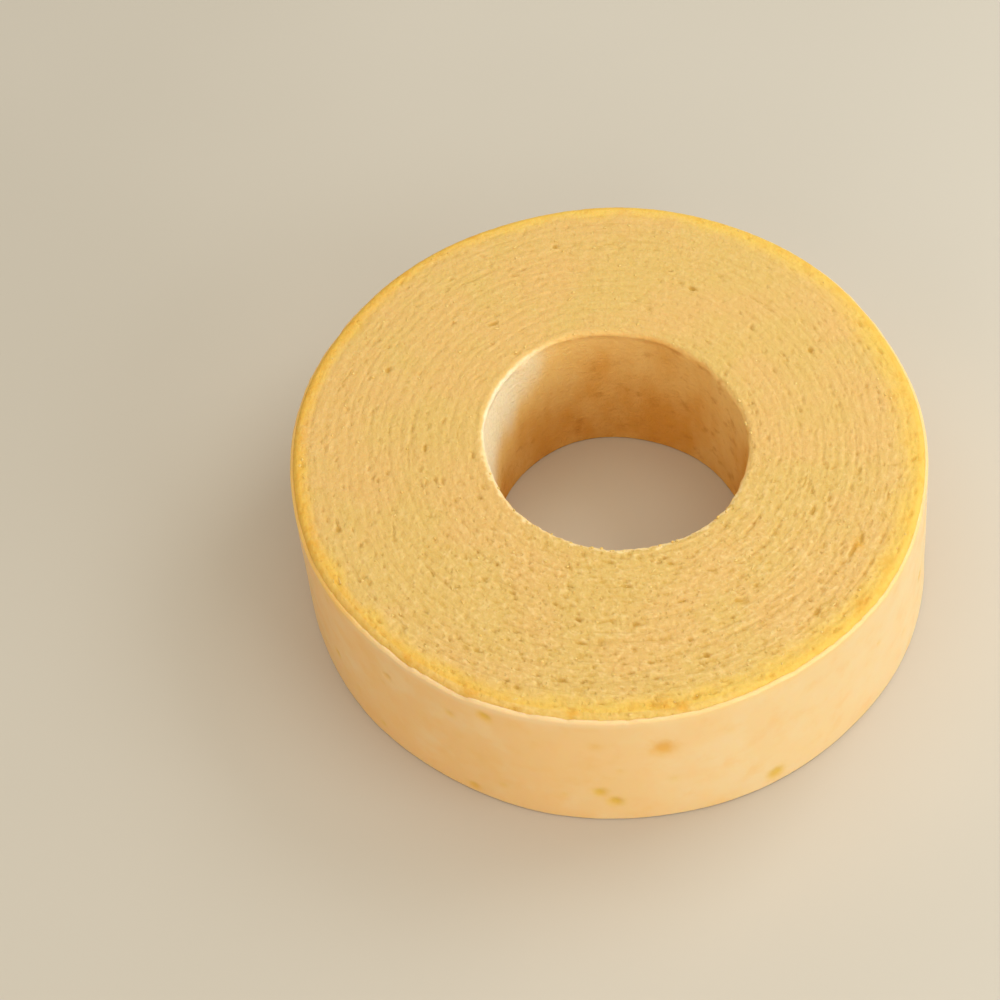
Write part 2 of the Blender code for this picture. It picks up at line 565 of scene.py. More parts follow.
@dataclass(frozen=True)
class Coat:
    """A colour that comes to cover its share where a pattern runs from one value to another."""

    tone: Socket | Colour
    pattern: Socket | Trace | Noise
    start: float = 0.0
    full: float = 1.0
    share: float = 1.0


class Bench:
    """Adds shader nodes to a material and joins them."""

    def __init__(self, name: str) -> None:
        """Starts a material with one Principled surface.

        Args:
            name: The material's name.
        """
        self.material = bpy.data.materials.new(name)
        self.material.use_nodes = True
        self.tree = self.material.node_tree
        self.surface = self.tree.nodes["Principled BSDF"]
        self.object_place = self.add("TexCoord").outputs["Object"]
        self.ring_place = self.attribute(Trace.RING_PLACE, "Vector")

    def add(self, kind: str, **values: Socket | float) -> bpy.types.Node:
        """Adds a shader node.

        Args:
            kind: The last words of the node type's name.
            values: What its inputs get, with an underscore for each space in their names.

        Returns:
            The node.
        """
        node = self.tree.nodes.new(f"ShaderNode{kind}")
        self.fill(node, **values)
        return node

    def fill(self, node: bpy.types.Node, **values: Socket | float | Colour) -> None:
        """Feeds a node's inputs, with an underscore for each space in their names."""
        for name, value in values.items():
            self.feed(node.inputs[name.replace("_", " ")], value)

    def attribute(self, trace: Trace, output: str = "Fac") -> Socket:
        """Reads one of the mesh's traces.

        Args:
            trace: What to read.
            output: The output that is wanted.

        Returns:
            What it says.
        """
        node = self.add("Attribute")
        node.attribute_name = trace.value
        return node.outputs[output]

    def feed(self, target: Socket, value: Socket | float | Colour) -> None:
        """Links a socket to another, or sets its value.

        Args:
            target: The socket to fill.
            value: Another socket, a number or a colour.
        """
        if isinstance(value, bpy.types.NodeSocket):
            self.tree.links.new(value, target)
        elif isinstance(value, tuple):
            target.default_value = (*value, 1.0)
        else:
            target.default_value = value

    def stretched(self, place: Socket, scale: Triple) -> Socket:
        """Scales a place along its three axes.

        Args:
            place: The place.
            scale: A factor for each axis.

        Returns:
            The scaled place.
        """
        node = self.add("Mapping", Vector=place)
        node.inputs["Scale"].default_value = scale
        return node.outputs["Vector"]

    def upright(self, place: Socket) -> Socket:
        """Reads the height out of a place."""
        return self.add("SeparateXYZ", Vector=place).outputs["Z"]

    def noise(self, kind: Noise, place: Socket | None = None, unit: float = METRE) -> Socket:
        """Adds smooth noise.

        Args:
            kind: What it is like.
            place: Where it is read. The mesh's own places are read if it is left out.
            unit: How many millimetres one unit of the place is.

        Returns:
            The noise, from 0 to 1.
        """
        node = self.add("TexNoise", Vector=place or self.object_place, Scale=unit / kind.size)
        self.fill(node, Detail=kind.detail, Roughness=kind.roughness)
        return node.outputs[0]

    def read(self, pattern: Socket | Trace | Noise) -> Socket:
        """Turns a trace or a noise into a socket.

        Args:
            pattern: What to read. A socket stays as it is.

        Returns:
            The socket.
        """
        if isinstance(pattern, Trace):
            return self.attribute(pattern)
        return self.noise(pattern) if isinstance(pattern, Noise) else pattern

    def cells(self, step: float) -> tuple[Socket, Socket]:
        """Adds cells a step apart: the distance from a cell's middle, and a number of its own."""
        node = self.add("TexVoronoi", Vector=self.object_place, Scale=METRE / step)
        return node.outputs["Distance"], self.add("SeparateColor", Color=node.outputs["Color"]).outputs[0]

    def ramp(self, value: Socket, low: float, high: float, start: float = 0.0, end: float = 1.0) -> Socket:
        """Runs smoothly from start to end.

        Args:
            value: What is read.
            low: The value that gives start.
            high: The value that gives end.
            start: What comes out at low and beyond.
            end: What comes out at high and beyond.

        Returns:
            The result.
        """
        node = self.add("MapRange", Value=value, From_Min=low, From_Max=high, To_Min=start, To_Max=end)
        node.interpolation_type = "SMOOTHSTEP"
        return node.outputs["Result"]

    def sum_up(self, operation: str, first: Socket | float, second: Socket | float) -> Socket:
        """Joins two numbers.

        Args:
            operation: The sum's name, such as MULTIPLY.
            first: The first number.
            second: The second number.

        Returns:
            The result.
        """
        node = self.add("Math")
        node.operation = operation
        self.feed(node.inputs[0], first)
        self.feed(node.inputs[1], second)
        return node.outputs[0]

    def part(self, pattern: Socket | Trace, share: float) -> Socket:
        """Takes a share of a pattern."""
        return self.sum_up("MULTIPLY", self.read(pattern), share)

    def coat(self, under: Socket | Colour, over: Socket | Colour, share: Socket | float) -> Socket:
        """Lays one colour over another.

        Args:
            under: The colour that is there.
            over: The colour that goes over it.
            share: How much of it goes on, from 0 to 1.

        Returns:
            The colour that results.
        """
        node = self.add("Mix")
        node.data_type = "RGBA"
        # a Mix node's factor and its two colours
        for number, value in ((0, share), (6, under), (7, over)):
            self.feed(node.inputs[number], value)
        return node.outputs[2]

    def lay(self, colour: Socket | Colour, *coats: Coat) -> Socket:
        """Lays coats over a colour, one after the other.

        Args:
            colour: The colour that is there.
            coats: What goes over it.

        Returns:
            The colour that results.
        """
        for coat in coats:
            cover = self.ramp(self.read(coat.pattern), coat.start, coat.full, 0.0, coat.share)
            colour = self.coat(colour, coat.tone, cover)
        return colour

    def bump(self, height: Socket, depth: float, strength: float) -> None:
        """Gives the surface a fine relief: its depth in millimetres, and how much of it shows."""
        node = self.add("Bump", Strength=strength, Distance=depth * MM, Height=height)
        self.set_surface(Normal=node.outputs["Normal"])

    def set_surface(self, **values: Socket | float | Colour) -> None:
        """Feeds the surface's own inputs."""
        self.fill(self.surface, **values)

    def scatter_light(self, share: float, depth: float, tint: Colour) -> None:
        """Lets light pass a little way under the surface.

        Args:
            share: How much light does so.
            depth: How far it goes, in millimetres.
            tint: How far each colour goes, against that depth.
        """
        self.surface.inputs["Subsurface Weight"].default_value = share
        self.surface.inputs["Subsurface Scale"].default_value = depth * MM
        self.surface.inputs["Subsurface Radius"].default_value = tint


@dataclass(frozen=True)
class CrumbFinish:
    """Cut sponge: golden and matt, with streaks along the layers, open pores and a soaked rim. Painted
    highlight and painted shade follow its relief, and part of the hole's light and shade is painted too.
    """

    name: str = "golden crumb"
    straw: Colour = (0.722, 0.487, 0.147)
    rose: Coat = Coat((0.748, 0.476, 0.157), Noise(17.0), 0.38, 0.64)
    # painted highlight on raised crumb, and painted shade in its hollows and pores
    highlight_fibre: Colour = (0.90, 0.67, 0.30)
    shaded_crumb: Colour = (0.58, 0.33, 0.048)
    streaks: Noise = Noise(3.4, 5.0, 0.62)
    grain: Noise = Noise(1.1, 3.0, 0.6)
    flecks: tuple[tuple[Triple, Triple], ...] = (
        # start, full and share of the pale flecks (painted highlight) and the deep flecks (painted shade)
        # in the streaks, the grain and the folds
        ((0.50, 0.78, 0.30), (0.48, 0.26, 0.26)),
        ((0.54, 0.76, 0.40), (0.44, 0.24, 0.30)),
        ((0.60, 1.0, 0.46), (0.36, 0.0, 0.46)),
    )
    # small pricked pores: a dent in the bump, with painted shade in it
    prick_step: float = 1.5
    prick_reach: Span = (0.34, 0.12)
    prick_choice: Span = (0.66, 0.74)
    prick_share: float = 0.26
    streak_relief: float = 0.5
    prick_relief: float = 0.5
    layer_tan: Coat = Coat((0.62, 0.38, 0.100), Trace.LAYER_LINE, 0.1, 1.0, 0.40)
    soaked_amber: Colour = (0.86, 0.585, 0.105)
    soaked_deep: Colour = (0.80, 0.45, 0.050)
    soaked_patches: Coat = Coat(soaked_deep, Noise(3.6, 4.0, 0.6), 0.46, 0.70, 0.75)
    soaked_edge: Coat = Coat(soaked_deep, Trace.SOAKED_AND_LIT_LIP, 0.88, 1.0, 0.35)
    soaked_share: float = 0.80
    soaked_hollows: float = 0.75
    # browned marks at the rim, and painted shade along the rim's shaded side
    caramel_and_shade: Colour = (0.77, 0.40, 0.050)
    caramel_and_shade_share: float = 0.85
    pore_cover: Triple = (0.05, 0.9, 0.68)
    skin_cover: Span = (0.25, 0.80)
    skin_light: Colour = (0.88, 0.58, 0.20)
    skin_brown: Colour = (0.76, 0.385, 0.070)
    skin_mottle: Noise = Noise(10.0, 3.0, 0.5)
    mottle_squeeze: Triple = (1.0, 1.0, 0.45)
    mottle_cover: Span = (0.24, 0.72)
    # painted shade: the hole's wall is darker towards its foot
    hole_shade_heights: Span = (4.0 * MM, 43.0 * MM)
    hole_shade: Span = (0.05, -0.17)
    skin_spots: Coat = Coat((0.58, 0.25, 0.040), Noise(4.2, 3.0, 0.6), 0.54, 0.74, 0.50)
    # the pale patch on the hole's wall: partly a paler skin, partly a painted patch of window light
    pale_lit_beige: Coat = Coat((0.92, 0.61, 0.20), Trace.PALE_LIT_SKIN, 0.0, 0.50, 0.85)
    pale_lit_cream: Coat = Coat((0.99, 0.87, 0.58), Trace.PALE_LIT_SKIN, 0.34, 1.0, 0.93)
    # painted highlight along the hole's rounded upper edge
    edge_highlight_cream: Coat = Coat((0.92, 0.70, 0.345), Trace.EDGE_HIGHLIGHT, share=0.90)
    rough_patches: Noise = Noise(2.2)
    roughness: Span = (0.66, 0.84)
    light_tint: Colour = (1.0, 0.55, 0.22)

    def crumb(self, bench: Bench) -> tuple[Socket, Socket]:
        """Makes the cut crumb, with painted highlight on its raised streaks, grain and folds and painted
        shade in their hollows and in the pricks. Its flecks and pricks show most where the mesh says that
        it is coarse.

        Args:
            bench: The material that is made.

        Returns:
            The crumb's colour and its fine relief.
        """
        colour = bench.lay(self.straw, self.rose)
        streak = bench.noise(self.streaks, bench.ring_place, 1.0)
        grain = bench.noise(self.grain)
        coarse = bench.attribute(Trace.COARSE)
        for pattern, bands in zip((streak, grain, bench.attribute(Trace.FOLD_SHADING)), self.flecks):
            for tone, (start, full, share) in zip((self.highlight_fibre, self.shaded_crumb), bands):
                cover = bench.ramp(pattern, start, full, 0.0, share)
                colour = bench.coat(colour, tone, bench.sum_up("MULTIPLY", cover, coarse))
        middle, own = bench.cells(self.prick_step)
        chosen = bench.ramp(own, *self.prick_choice)
        prick = bench.sum_up("MULTIPLY", bench.ramp(middle, *self.prick_reach), chosen)
        prick = bench.sum_up("MULTIPLY", prick, coarse)
        colour = bench.coat(colour, self.shaded_crumb, bench.part(prick, self.prick_share))
        relief = bench.sum_up("ADD", grain, bench.part(streak, self.streak_relief))
        return colour, bench.sum_up("SUBTRACT", relief, bench.part(prick, self.prick_relief))

    def skin(self, bench: Bench) -> Socket:
        """The browned wall of the hole, blotched from top to foot. Painted shade darkens it towards the
        foot, and near the top a paler patch is partly painted light.

        Args:
            bench: The material that is made.

        Returns:
            The wall's colour.
        """
        mottle = bench.noise(self.skin_mottle, bench.stretched(bench.object_place, self.mottle_squeeze))
        height = bench.upright(bench.object_place)
        # the blotches, with painted shade added that grows towards the foot
        brown_and_shade = bench.sum_up("ADD", mottle, bench.ramp(height, *self.hole_shade_heights, *self.hole_shade))
        blotches_and_shade = Coat(self.skin_brown, brown_and_shade, *self.mottle_cover)
        return bench.lay(self.skin_light, blotches_and_shade, self.skin_spots, self.pale_lit_beige, self.pale_lit_cream)

    def material(self) -> bpy.types.Material:
        """Makes the material.

        Returns:
            The material.
        """
        bench = Bench(self.name)
        colour, relief = self.crumb(bench)
        colour = bench.lay(colour, self.layer_tan)
        amber = bench.lay(self.soaked_amber, self.soaked_patches, self.soaked_edge)
        colour = bench.coat(colour, amber, bench.part(Trace.SOAKED_AND_LIT_LIP, self.soaked_share))
        colour = bench.coat(colour, self.caramel_and_shade, bench.part(Trace.CARAMEL_AND_SHADE, self.caramel_and_shade_share))
        # pores get painted shade: the crumb darkened in their hollows, yellower in the soaked rim
        wet = bench.part(Trace.SOAKED_AND_LIT_LIP, self.soaked_hollows)
        hollow = Coat(bench.coat(self.shaded_crumb, self.soaked_deep, wet), Trace.PORE_SHADE, *self.pore_cover)
        skin = Coat(self.skin(bench), Trace.BAKED_SKIN, *self.skin_cover)
        colour = bench.lay(colour, hollow, skin, self.edge_highlight_cream)
        rough = bench.ramp(bench.noise(self.rough_patches), *NOISE_SPAN, *self.roughness)
        bench.set_surface(Base_Color=colour, Roughness=rough, Specular_IOR_Level=0.28)
        bench.scatter_light(share=0.18, depth=1.6, tint=self.light_tint)
        bench.bump(relief, depth=0.40, strength=0.8)
        return bench.material


@dataclass(frozen=True)
class GlazeFinish:
    """Set sugar glaze: pale peach and satin, half clear, with yellow cake showing in its little pits. Its
    pale lip is partly a painted highlight, and its paler window side partly painted light.
    """

    name: str = "sugar glaze"
    clear_peach: Colour = (0.985, 0.560, 0.222)
    # paler, less saturated glaze on the window side: partly cloudier glaze, partly painted light
    lit_wash_peach: Colour = (0.985, 0.640, 0.310)
    # the glaze's cloudy white, also the base of the lip's painted highlight
    milky_and_highlight: Colour = (0.985, 0.700, 0.400)
    milky_clouds: Coat = Coat(milky_and_highlight, Noise(13.0, 3.0, 0.55), 0.44, 0.74, 0.45)
    drift: Noise = Noise(7.0, 3.0)
    honey: Colour = (0.960, 0.520, 0.180)
    honey_cover: Triple = (0.48, 0.76, 0.45)
    # the lip's painted highlight, yellower on the window side
    lip_highlight_straw: Coat = Coat((0.985, 0.620, 0.230), Trace.LIT_WASH, 0.25, 0.9)
    lip_highlight_share: float = 0.60
    thin_amber: Coat = Coat((1.0, 0.56, 0.145), Trace.THIN_LIP, share=0.90)
    yolk: Colour = (0.88, 0.48, 0.060)
    pit_orange: Colour = (0.90, 0.42, 0.065)
    pit_cover: Triple = (0.02, 0.90, 0.92)
    fine: Noise = Noise(1.3, 3.0)
    fine_relief: float = 0.35
    roughness: Span = (0.34, 0.50)
    light_tint: Colour = (1.0, 0.45, 0.18)

    def material(self) -> bpy.types.Material:
        """Makes the material.

        Returns:
            The material.
        """
        bench = Bench(self.name)
        drift = bench.noise(self.drift)
        # the window side painted paler: partly cloudier glaze, partly painted light
        colour = bench.coat(self.clear_peach, self.lit_wash_peach, bench.attribute(Trace.LIT_WASH))
        honey = Coat(self.honey, drift, *self.honey_cover)
        # the lip: partly a paler glaze, partly a painted highlight
        lip = Coat(bench.lay(self.milky_and_highlight, self.lip_highlight_straw), Trace.SOAKED_AND_LIT_LIP, share=self.lip_highlight_share)
        spot = bench.coat(self.yolk, self.pit_orange, bench.attribute(Trace.CARAMEL_AND_SHADE))
        pits = Coat(spot, Trace.BARE_CAKE, *self.pit_cover)
        colour = bench.lay(colour, self.milky_clouds, honey, lip, self.thin_amber, pits)
        rough = bench.ramp(drift, *NOISE_SPAN, *self.roughness)
        bench.set_surface(Base_Color=colour, Roughness=rough, Specular_IOR_Level=0.45, IOR=1.46)
        bench.scatter_light(share=0.35, depth=3.0, tint=self.light_tint)
        fine = bench.part(bench.noise(self.fine), self.fine_relief)
        bench.bump(bench.sum_up("ADD", fine, drift), depth=0.12, strength=0.5)
        return bench.material


@dataclass(frozen=True)
class FloorFinish:
    """A pale, plain, slightly warm surface."""

    name: str = "pale floor"
    light: Colour = (0.600, 0.562, 0.485)
    shade: Coat = Coat((0.580, 0.542, 0.465), Noise(METRE / 6.0), 0.35, 0.65)

    def material(self) -> bpy.types.Material:
        """Makes the material.

        Returns:
            The material.
        """
        bench = Bench(self.name)
        colour = bench.lay(self.light, self.shade)
        bench.set_surface(Base_Color=colour, Roughness=0.55, Specular_IOR_Level=0.3)
        return bench.material


def place_piece(name: str, mesh: bpy.types.Mesh, finish: bpy.types.Material) -> bpy.types.Object:
    """Puts a mesh in the scene.

    Args:
        name: The piece's name.
        mesh: Its mesh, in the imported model's frame.
        finish: Its material.

    Returns:
        The object.
    """
    piece = bpy.data.objects.new(name, mesh)
    bpy.context.scene.collection.objects.link(piece)
    mesh.materials.append(finish)
    return piece


def report(piece: bpy.types.Object) -> None:
    """Logs a piece's name and its number of triangles."""
    triangles = sum(len(face.vertices) - 2 for face in piece.data.polygons)
    LOG.info("%s: %d triangles", piece.name, triangles)


@dataclass
class CakeRing:
    """The baked cake: two cut faces that show the layers, the hole's browned wall and the outer wall."""

    form: RingForm
    finish: CrumbFinish
    name: str = "cut_cake"
    row_step: float = 0.34
    point_step: float = 0.60
    under_point_step: float = 1.25
    hole_point_step: float = 0.80
    hole_rows: int = 26
    side_rows: int = 4
    count_step: int = 24
    hole_edge_round: float = 1.4
    rim_round: float = 1.5
    under_round: float = 0.45
    corner_steps: int = 6
    glaze_overlap: float = 0.05
    groove_depth: float = 0.17
    groove_reach: float = 0.27
    under_groove_depth: float = 0.35
    under_row_gap: float = 0.405
    groove_mean: float = 0.55
    groove_range: Span = (0.04, 1.15)
    groove_breaks: Unevenness = Unevenness(0.95, 10.0, 12, 2)
    fine_groove: float = 0.4
    layer_crown: float = 0.05
    crown_reach: Span = (0.1, 1.3)
    layer_wobble: Unevenness = Unevenness(0.32, 9.0, 11, 1, 0.25)
    layers_apart: float = 40.0
    coarse_side: Side = Side(-84.0, -0.10, 0.85)
    least_coarse: float = 0.42
    streaks: Unevenness = Unevenness(0.06, 3.4, 21, 3)
    folds: Unevenness = Unevenness(1.0, 2.2, 23, 2)
    fold_stretch: float = 1.4
    fold_level: float = 0.30
    fold_height: float = 0.24
    fold_shade: float = 1.2
    grains: Unevenness = Unevenness(1.0, 1.0, 22, 2)
    grain_height: float = 0.06
    grain_shade: float = 0.35
    hole_fray: Unevenness = Unevenness(0.44, 2.4, 3, 3)
    hole_sway: Unevenness = Unevenness(0.24, 8.0, 4)
    fray_reach: float = 1.3
    hole_ripples: Unevenness = Unevenness(0.30, 7.0, 41, 2, 0.22)
    hole_blisters: Unevenness = Unevenness(0.12, 3.0, 42, 2)
    hole_inset: float = 0.15
    skin_facing: Span = (92.0, 165.0)
    skin_edge: Unevenness = Unevenness(12.0, 1.6, 51)
    # where the hole's wall is painted paler: partly paler skin, partly painted window light that fades
    # downwards
    pale_lit_bearing: float = 160.0
    pale_lit_reach: float = 50.0
    pale_lit_blend: float = 34.0
    pale_lit_slope: float = 0.35
    pale_lit_depth: float = 7.0
    pale_lit_fade: float = 34.0
    pale_lit_edge: Unevenness = Unevenness(10.0, 7.0, 52, 2, 0.25)
    # painted highlight along the hole's edge, strongest on the near side
    highlight_side: Side = Side(-105.0, -0.25, 0.45)
    highlight_reach: float = 1.4
    highlight_core: float = 0.35
    highlight_sway: float = 1.1
    highlight_tilt: float = 14.0
    highlight_facing: Span = (138.0, 160.0)
    least_highlight: float = 0.15
    highlight_outline: Unevenness = Unevenness(1.0, 1.6, 53, 3)
    soaked_start: float = 0.3
    soaked_width: float = 6.3
    soaked_swing: float = 2.2
    soaked_bearing: float = -25.0
    soaked_edge: Unevenness = Unevenness(2.0, 7.0, 31, 4, 0.2)
    film_side: Side = Side(-115.0, 0.58, 0.88)
    film_share: float = 0.62
    film_reach: Span = (0.970, 0.988)
    # painted shade on the rim's side away from the light
    shade_side: Side = Side(-178.0, -0.1, 0.75)
    painted_shade_share: float = 0.58
    painted_shade_reach: Span = (0.912, 0.968)
    mark_squeeze: float = 0.7
    mark_strength: float = 0.90
    mark_outline: Unevenness = Unevenness(0.9, 1.1, 54, 2)
    pores: Scatter = Scatter(2100, 0.9, (1.0, 2.6), (0.6, 1.1), (0.14, 0.54), 18.0, 0.15)
    pore_share: float = 0.75
    pore_share_swing: float = 0.45
    pore_length_skew: float = 2.0
    pore_depth_skew: float = 1.7
    pore_shade_mean: float = 0.82
    pore_shade_swing: float = 0.23
    pores_along_layers: float = 0.82
    cross_turn: Span = (40.0, 140.0)
    pit_turn: float = 12.0
    pit_growth: float = 1.1
    pit_depth: float = 0.5
    raised_crumbs: Scatter = Scatter(900, 0.9, (0.9, 1.9), (0.6, 1.0), (-0.05, -0.19), 30.0)
    cracks: Scatter = Scatter(14, 5.0, (1.4, 2.4), (0.5, 0.5), (0.2, 0.4), 10.0, 0.7)
    crack_parts: tuple[int, int] = (3, 6)
    crack_drift: float = 0.22
    crack_overlap: float = 0.75
    under_pores: Scatter = Scatter(260, 1.5, (1.8, 3.4), (1.3, 1.8), (0.2, 0.6), 0.0, 0.7)
    seed: int = 7
    browned_marks: tuple[Triple, ...] = (
        # degrees round the ring, distance from the axis, reach
        (-163.9, 73.4, 2.2), (-132.9, 72.6, 1.7), (-119.5, 72.9, 1.5), (-101.0, 72.6, 1.2),
        (-84.5, 71.4, 1.6), (-81.6, 72.6, 1.4), (-42.0, 72.4, 1.5), (-30.8, 63.6, 1.3),
        (112.0, 73.6, 1.6), (128.0, 73.8, 2.4), (143.0, 73.6, 2.2), (161.0, 73.8, 2.0),
    )
    pits: tuple[tuple[float, float, float, float], ...] = (
        # degrees round the ring, distance from the axis, length, width
        (-104.2, 64.3, 2.8, 1.2), (-123.1, 62.7, 2.0, 1.1), (-114.0, 59.5, 1.4, 1.0),
        (-112.4, 68.1, 1.7, 1.3), (-73.5, 61.5, 2.0, 1.4), (-86.6, 70.8, 2.0, 1.2),
        (-78.6, 70.9, 2.2, 1.3), (-48.8, 65.9, 2.3, 1.4), (-28.6, 63.7, 3.0, 1.0),
        (-32.6, 63.2, 3.6, 1.2), (-25.5, 50.7, 3.2, 1.0), (-20.7, 53.2, 1.9, 1.0),
        (-60.0, 51.8, 2.3, 1.0), (-53.6, 51.2, 2.2, 1.0), (25.9, 56.1, 2.2, 1.4),
        (-123.7, 45.2, 1.9, 1.0), (-110.4, 44.4, 1.7, 1.0), (-70.9, 35.2, 1.9, 1.0),
        (-88.9, 38.5, 3.6, 0.9), (-101.2, 54.0, 3.2, 1.0), (-87.6, 49.1, 1.9, 1.3),
        (62.0, 52.0, 2.4, 1.2), (97.0, 63.0, 1.8, 1.3), (121.0, 47.0, 2.6, 1.1),
        (150.0, 58.0, 2.0, 1.3), (173.0, 43.0, 2.2, 1.1), (-166.0, 66.0, 2.2, 1.2),
    )

    @property
    def rim_reach(self) -> float:
        """How far the cake's outer wall reaches out into the glaze."""
        return self.form.glaze_clearance + self.glaze_overlap

    def count_at(self, share: float, step: float) -> int:
        """How many points a row has, so that they stand about one step apart."""
        radius = self.form.hole_diameter / 2.0 + self.form.wall * share
        return self.count_step * max(1, round(2.0 * math.pi * radius / step / self.count_step))

    def face_profile(
        self, positions: list[float], hole_round: float, rim_round: float
    ) -> list[tuple[float, float, float, float]]:
        """Runs over a cut face from the hole's wall to the outer wall.

        Args:
            positions: Distances of the face's own rows from the hole's wall.
            hole_round: The radius of the edge at the hole.
            rim_round: The radius of the edge at the outer wall.

        Returns:
            (share, shift, depth below the face, tilt from the face's own direction) for each row.
        """
        corner = [
            (turn, 1.0 - math.cos(math.radians(turn)), 1.0 - math.sin(math.radians(turn)))
            for turn in np.linspace(0.0, 90.0, self.corner_steps)
        ]
        near = [(0.0, hole_round * side, hole_round * down, turn - 90.0) for turn, side, down in corner]
        face = [(position / self.form.wall, 0.0, 0.0, 0.0) for position in positions]
        far = [
            (1.0, self.rim_reach - rim_round * side, rim_round * down, 90.0 - turn)
            for turn, side, down in corner[::-1]
        ]
        return near + face + far

    def top_positions(self) -> list[float]:
        """Even steps across the upper face.

        Returns:
            Distances from the hole's wall.
        """
        start = self.hole_edge_round + self.row_step
        end = self.form.wall - self.rim_round
        return np.linspace(start, end, round((end - start) / self.row_step)).tolist()

    def under_positions(self) -> list[float]:
        """Four rows to each layer of the lower face, three of them across its groove.

        Returns:
            Distances from the hole's wall.
        """
        edges = self.form.layer_edges()
        gap = self.under_row_gap
        found = [place for edge in edges for place in (edge - gap, edge, edge + gap)]
        found += ((edges[:-1] + edges[1:]) / 2.0).tolist()
        return sorted(found)

    def rows(self) -> list[Row]:
        """The whole cross section.

        Returns:
            Its rows, in the order in which they are joined.
        """
        form = self.form
        step = self.point_step
        profile = self.face_profile(self.top_positions(), self.hole_edge_round, self.rim_round)
        rows = [
            Row(share, shift, form.height - depth, 90.0 - tilt, self.count_at(share, step), Zone.TOP, 1.0)
            for share, shift, depth, tilt in profile
        ]
        step = self.under_point_step
        count = self.count_at(1.0, step)
        rows += [
            Row(1.0, self.rim_reach, height, 0.0, count, Zone.SIDE)
            for height in np.linspace(form.height, 0.0, self.side_rows + 2)[1:-1]
        ]
        profile = self.face_profile(self.under_positions(), self.under_round, self.under_round)
        rows += [
            Row(share, shift, depth, tilt - 90.0, self.count_at(share, step), Zone.UNDER)
            for share, shift, depth, tilt in profile[::-1]
        ]
        count = self.count_at(0.0, self.hole_point_step)
        rows += [
            Row(0.0, 0.0, height, 180.0, count, Zone.HOLE)
            for height in np.linspace(0.0, form.height, self.hole_rows + 2)[1:-1]
        ]
        return rows

    def fray_hole_edge(self, grid: RingGrid) -> None:
        """Leaves the hole's edges slightly torn.

        Args:
            grid: The ring's points.
        """
        below = self.form.height - grid.height
        away = grid.radius - self.form.radius(0.0, grid.angle, grid.height) + below
        near = np.exp(-away / self.fray_reach) * grid.within(Zone.TOP, Zone.HOLE)
        round_hole = grid.drum(self.form.hole_diameter / 2.0, grid.height)
        grid.radius += near * (self.hole_fray.at(round_hole) + self.hole_sway.at(round_hole))

    def lay_layers(self, grid: RingGrid) -> None:
        """Crowns each baked layer a little and cuts a broken groove between it and the next.

        Args:
            grid: The ring's points.
        """
        face = grid.within(Zone.TOP, Zone.UNDER)
        across = grid.share * self.form.wall + self.layer_wobble.at(grid.ring_places())
        away = np.abs(across[:, None] - self.form.layer_edges()[None, :])
        gap = away.min(axis=1)
        rounds = grid.drum(grid.ring_reach, self.layers_apart * away.argmin(axis=1))
        strength = np.clip(self.groove_mean + self.groove_breaks.at(rounds), *self.groove_range)
        groove = np.exp(-((gap / self.groove_reach) ** 2)) * strength
        groove *= self.fine_groove + (1.0 - self.fine_groove) * self.coarse(grid)
        depth = np.where(grid.within(Zone.UNDER), self.under_groove_depth, self.groove_depth)
        crown = self.layer_crown * soft_step(gap, *self.crown_reach)
        grid.relief += face * (crown - depth * groove - self.layer_crown)
        grid.note(Trace.LAYER_LINE, face * np.clip(groove, 0.0, 1.0))

    def roughen(self, grid: RingGrid) -> None:
        """Tears the crumb slightly: streaks and folds along the layers, and finer grain over them.

        Args:
            grid: The ring's points.
        """
        face = grid.within(Zone.TOP, Zone.UNDER)
        coarse = self.coarse(grid)
        drum = grid.ring_places()
        streaks = self.streaks.at(drum)
        squeezed = drum * (1.0, 1.0, self.fold_stretch / grid.ring_stretch)
        folds = self.fold_level - np.abs(self.folds.at(squeezed))
        grain = self.grains.at(grid.places())
        grid.relief += face * coarse * (streaks + self.fold_height * folds + self.grain_height * grain)
        # fold shading: lighter on the folds' ridges and darker in their hollows, painted as light and
        # shade
        grid.note(Trace.FOLD_SHADING, np.clip(0.5 + self.fold_shade * folds + self.grain_shade * grain, 0.0, 1.0))
        grid.note(Trace.COARSE, coarse)

    def coarse(self, grid: RingGrid) -> np.ndarray:
        """How coarsely the knife tore the crumb: most on one side, less than half as much opposite."""
        return self.least_coarse + (1.0 - self.least_coarse) * self.coarse_side.share(grid)

    def filmed(self, grid: RingGrid) -> np.ndarray:
        """How much a film of glaze pales the rounded rim on the near side, from 0 to 1."""
        return self.film_share * self.film_side.share(grid) * soft_step(grid.share, *self.film_reach)

    def soaked(self, grid: RingGrid) -> np.ndarray:
        """How far the glaze has soaked into the crumb, from 0 to 1.

        Args:
            grid: The ring's points.

        Returns:
            One value for each point.
        """
        edge = self.form.wall * (1.0 - grid.share) + self.soaked_edge.at(grid.ring_places())
        width = self.soaked_width + self.soaked_swing * grid.nearness(self.soaked_bearing)
        return (1.0 - soft_step(edge, self.soaked_start, width)) * (1.0 - self.filmed(grid))

    def random_place(self, draw: random.Random, margin: float) -> tuple[float, float]:
        """Draws a place on a cut face, evenly over its area.

        Args:
            draw: The seeded source of chance.
            margin: How far it stays from both walls.

        Returns:
            The angle in degrees and the distance from the axis.
        """
        degrees = draw.uniform(-180.0, 180.0)
        angle = np.radians(degrees)
        inner = float(self.form.hole_radius(angle, self.form.height)) + margin
        outer = float(self.form.cake_radius(angle, self.form.height)) - margin
        return degrees, math.sqrt(draw.uniform(inner * inner, outer * outer))

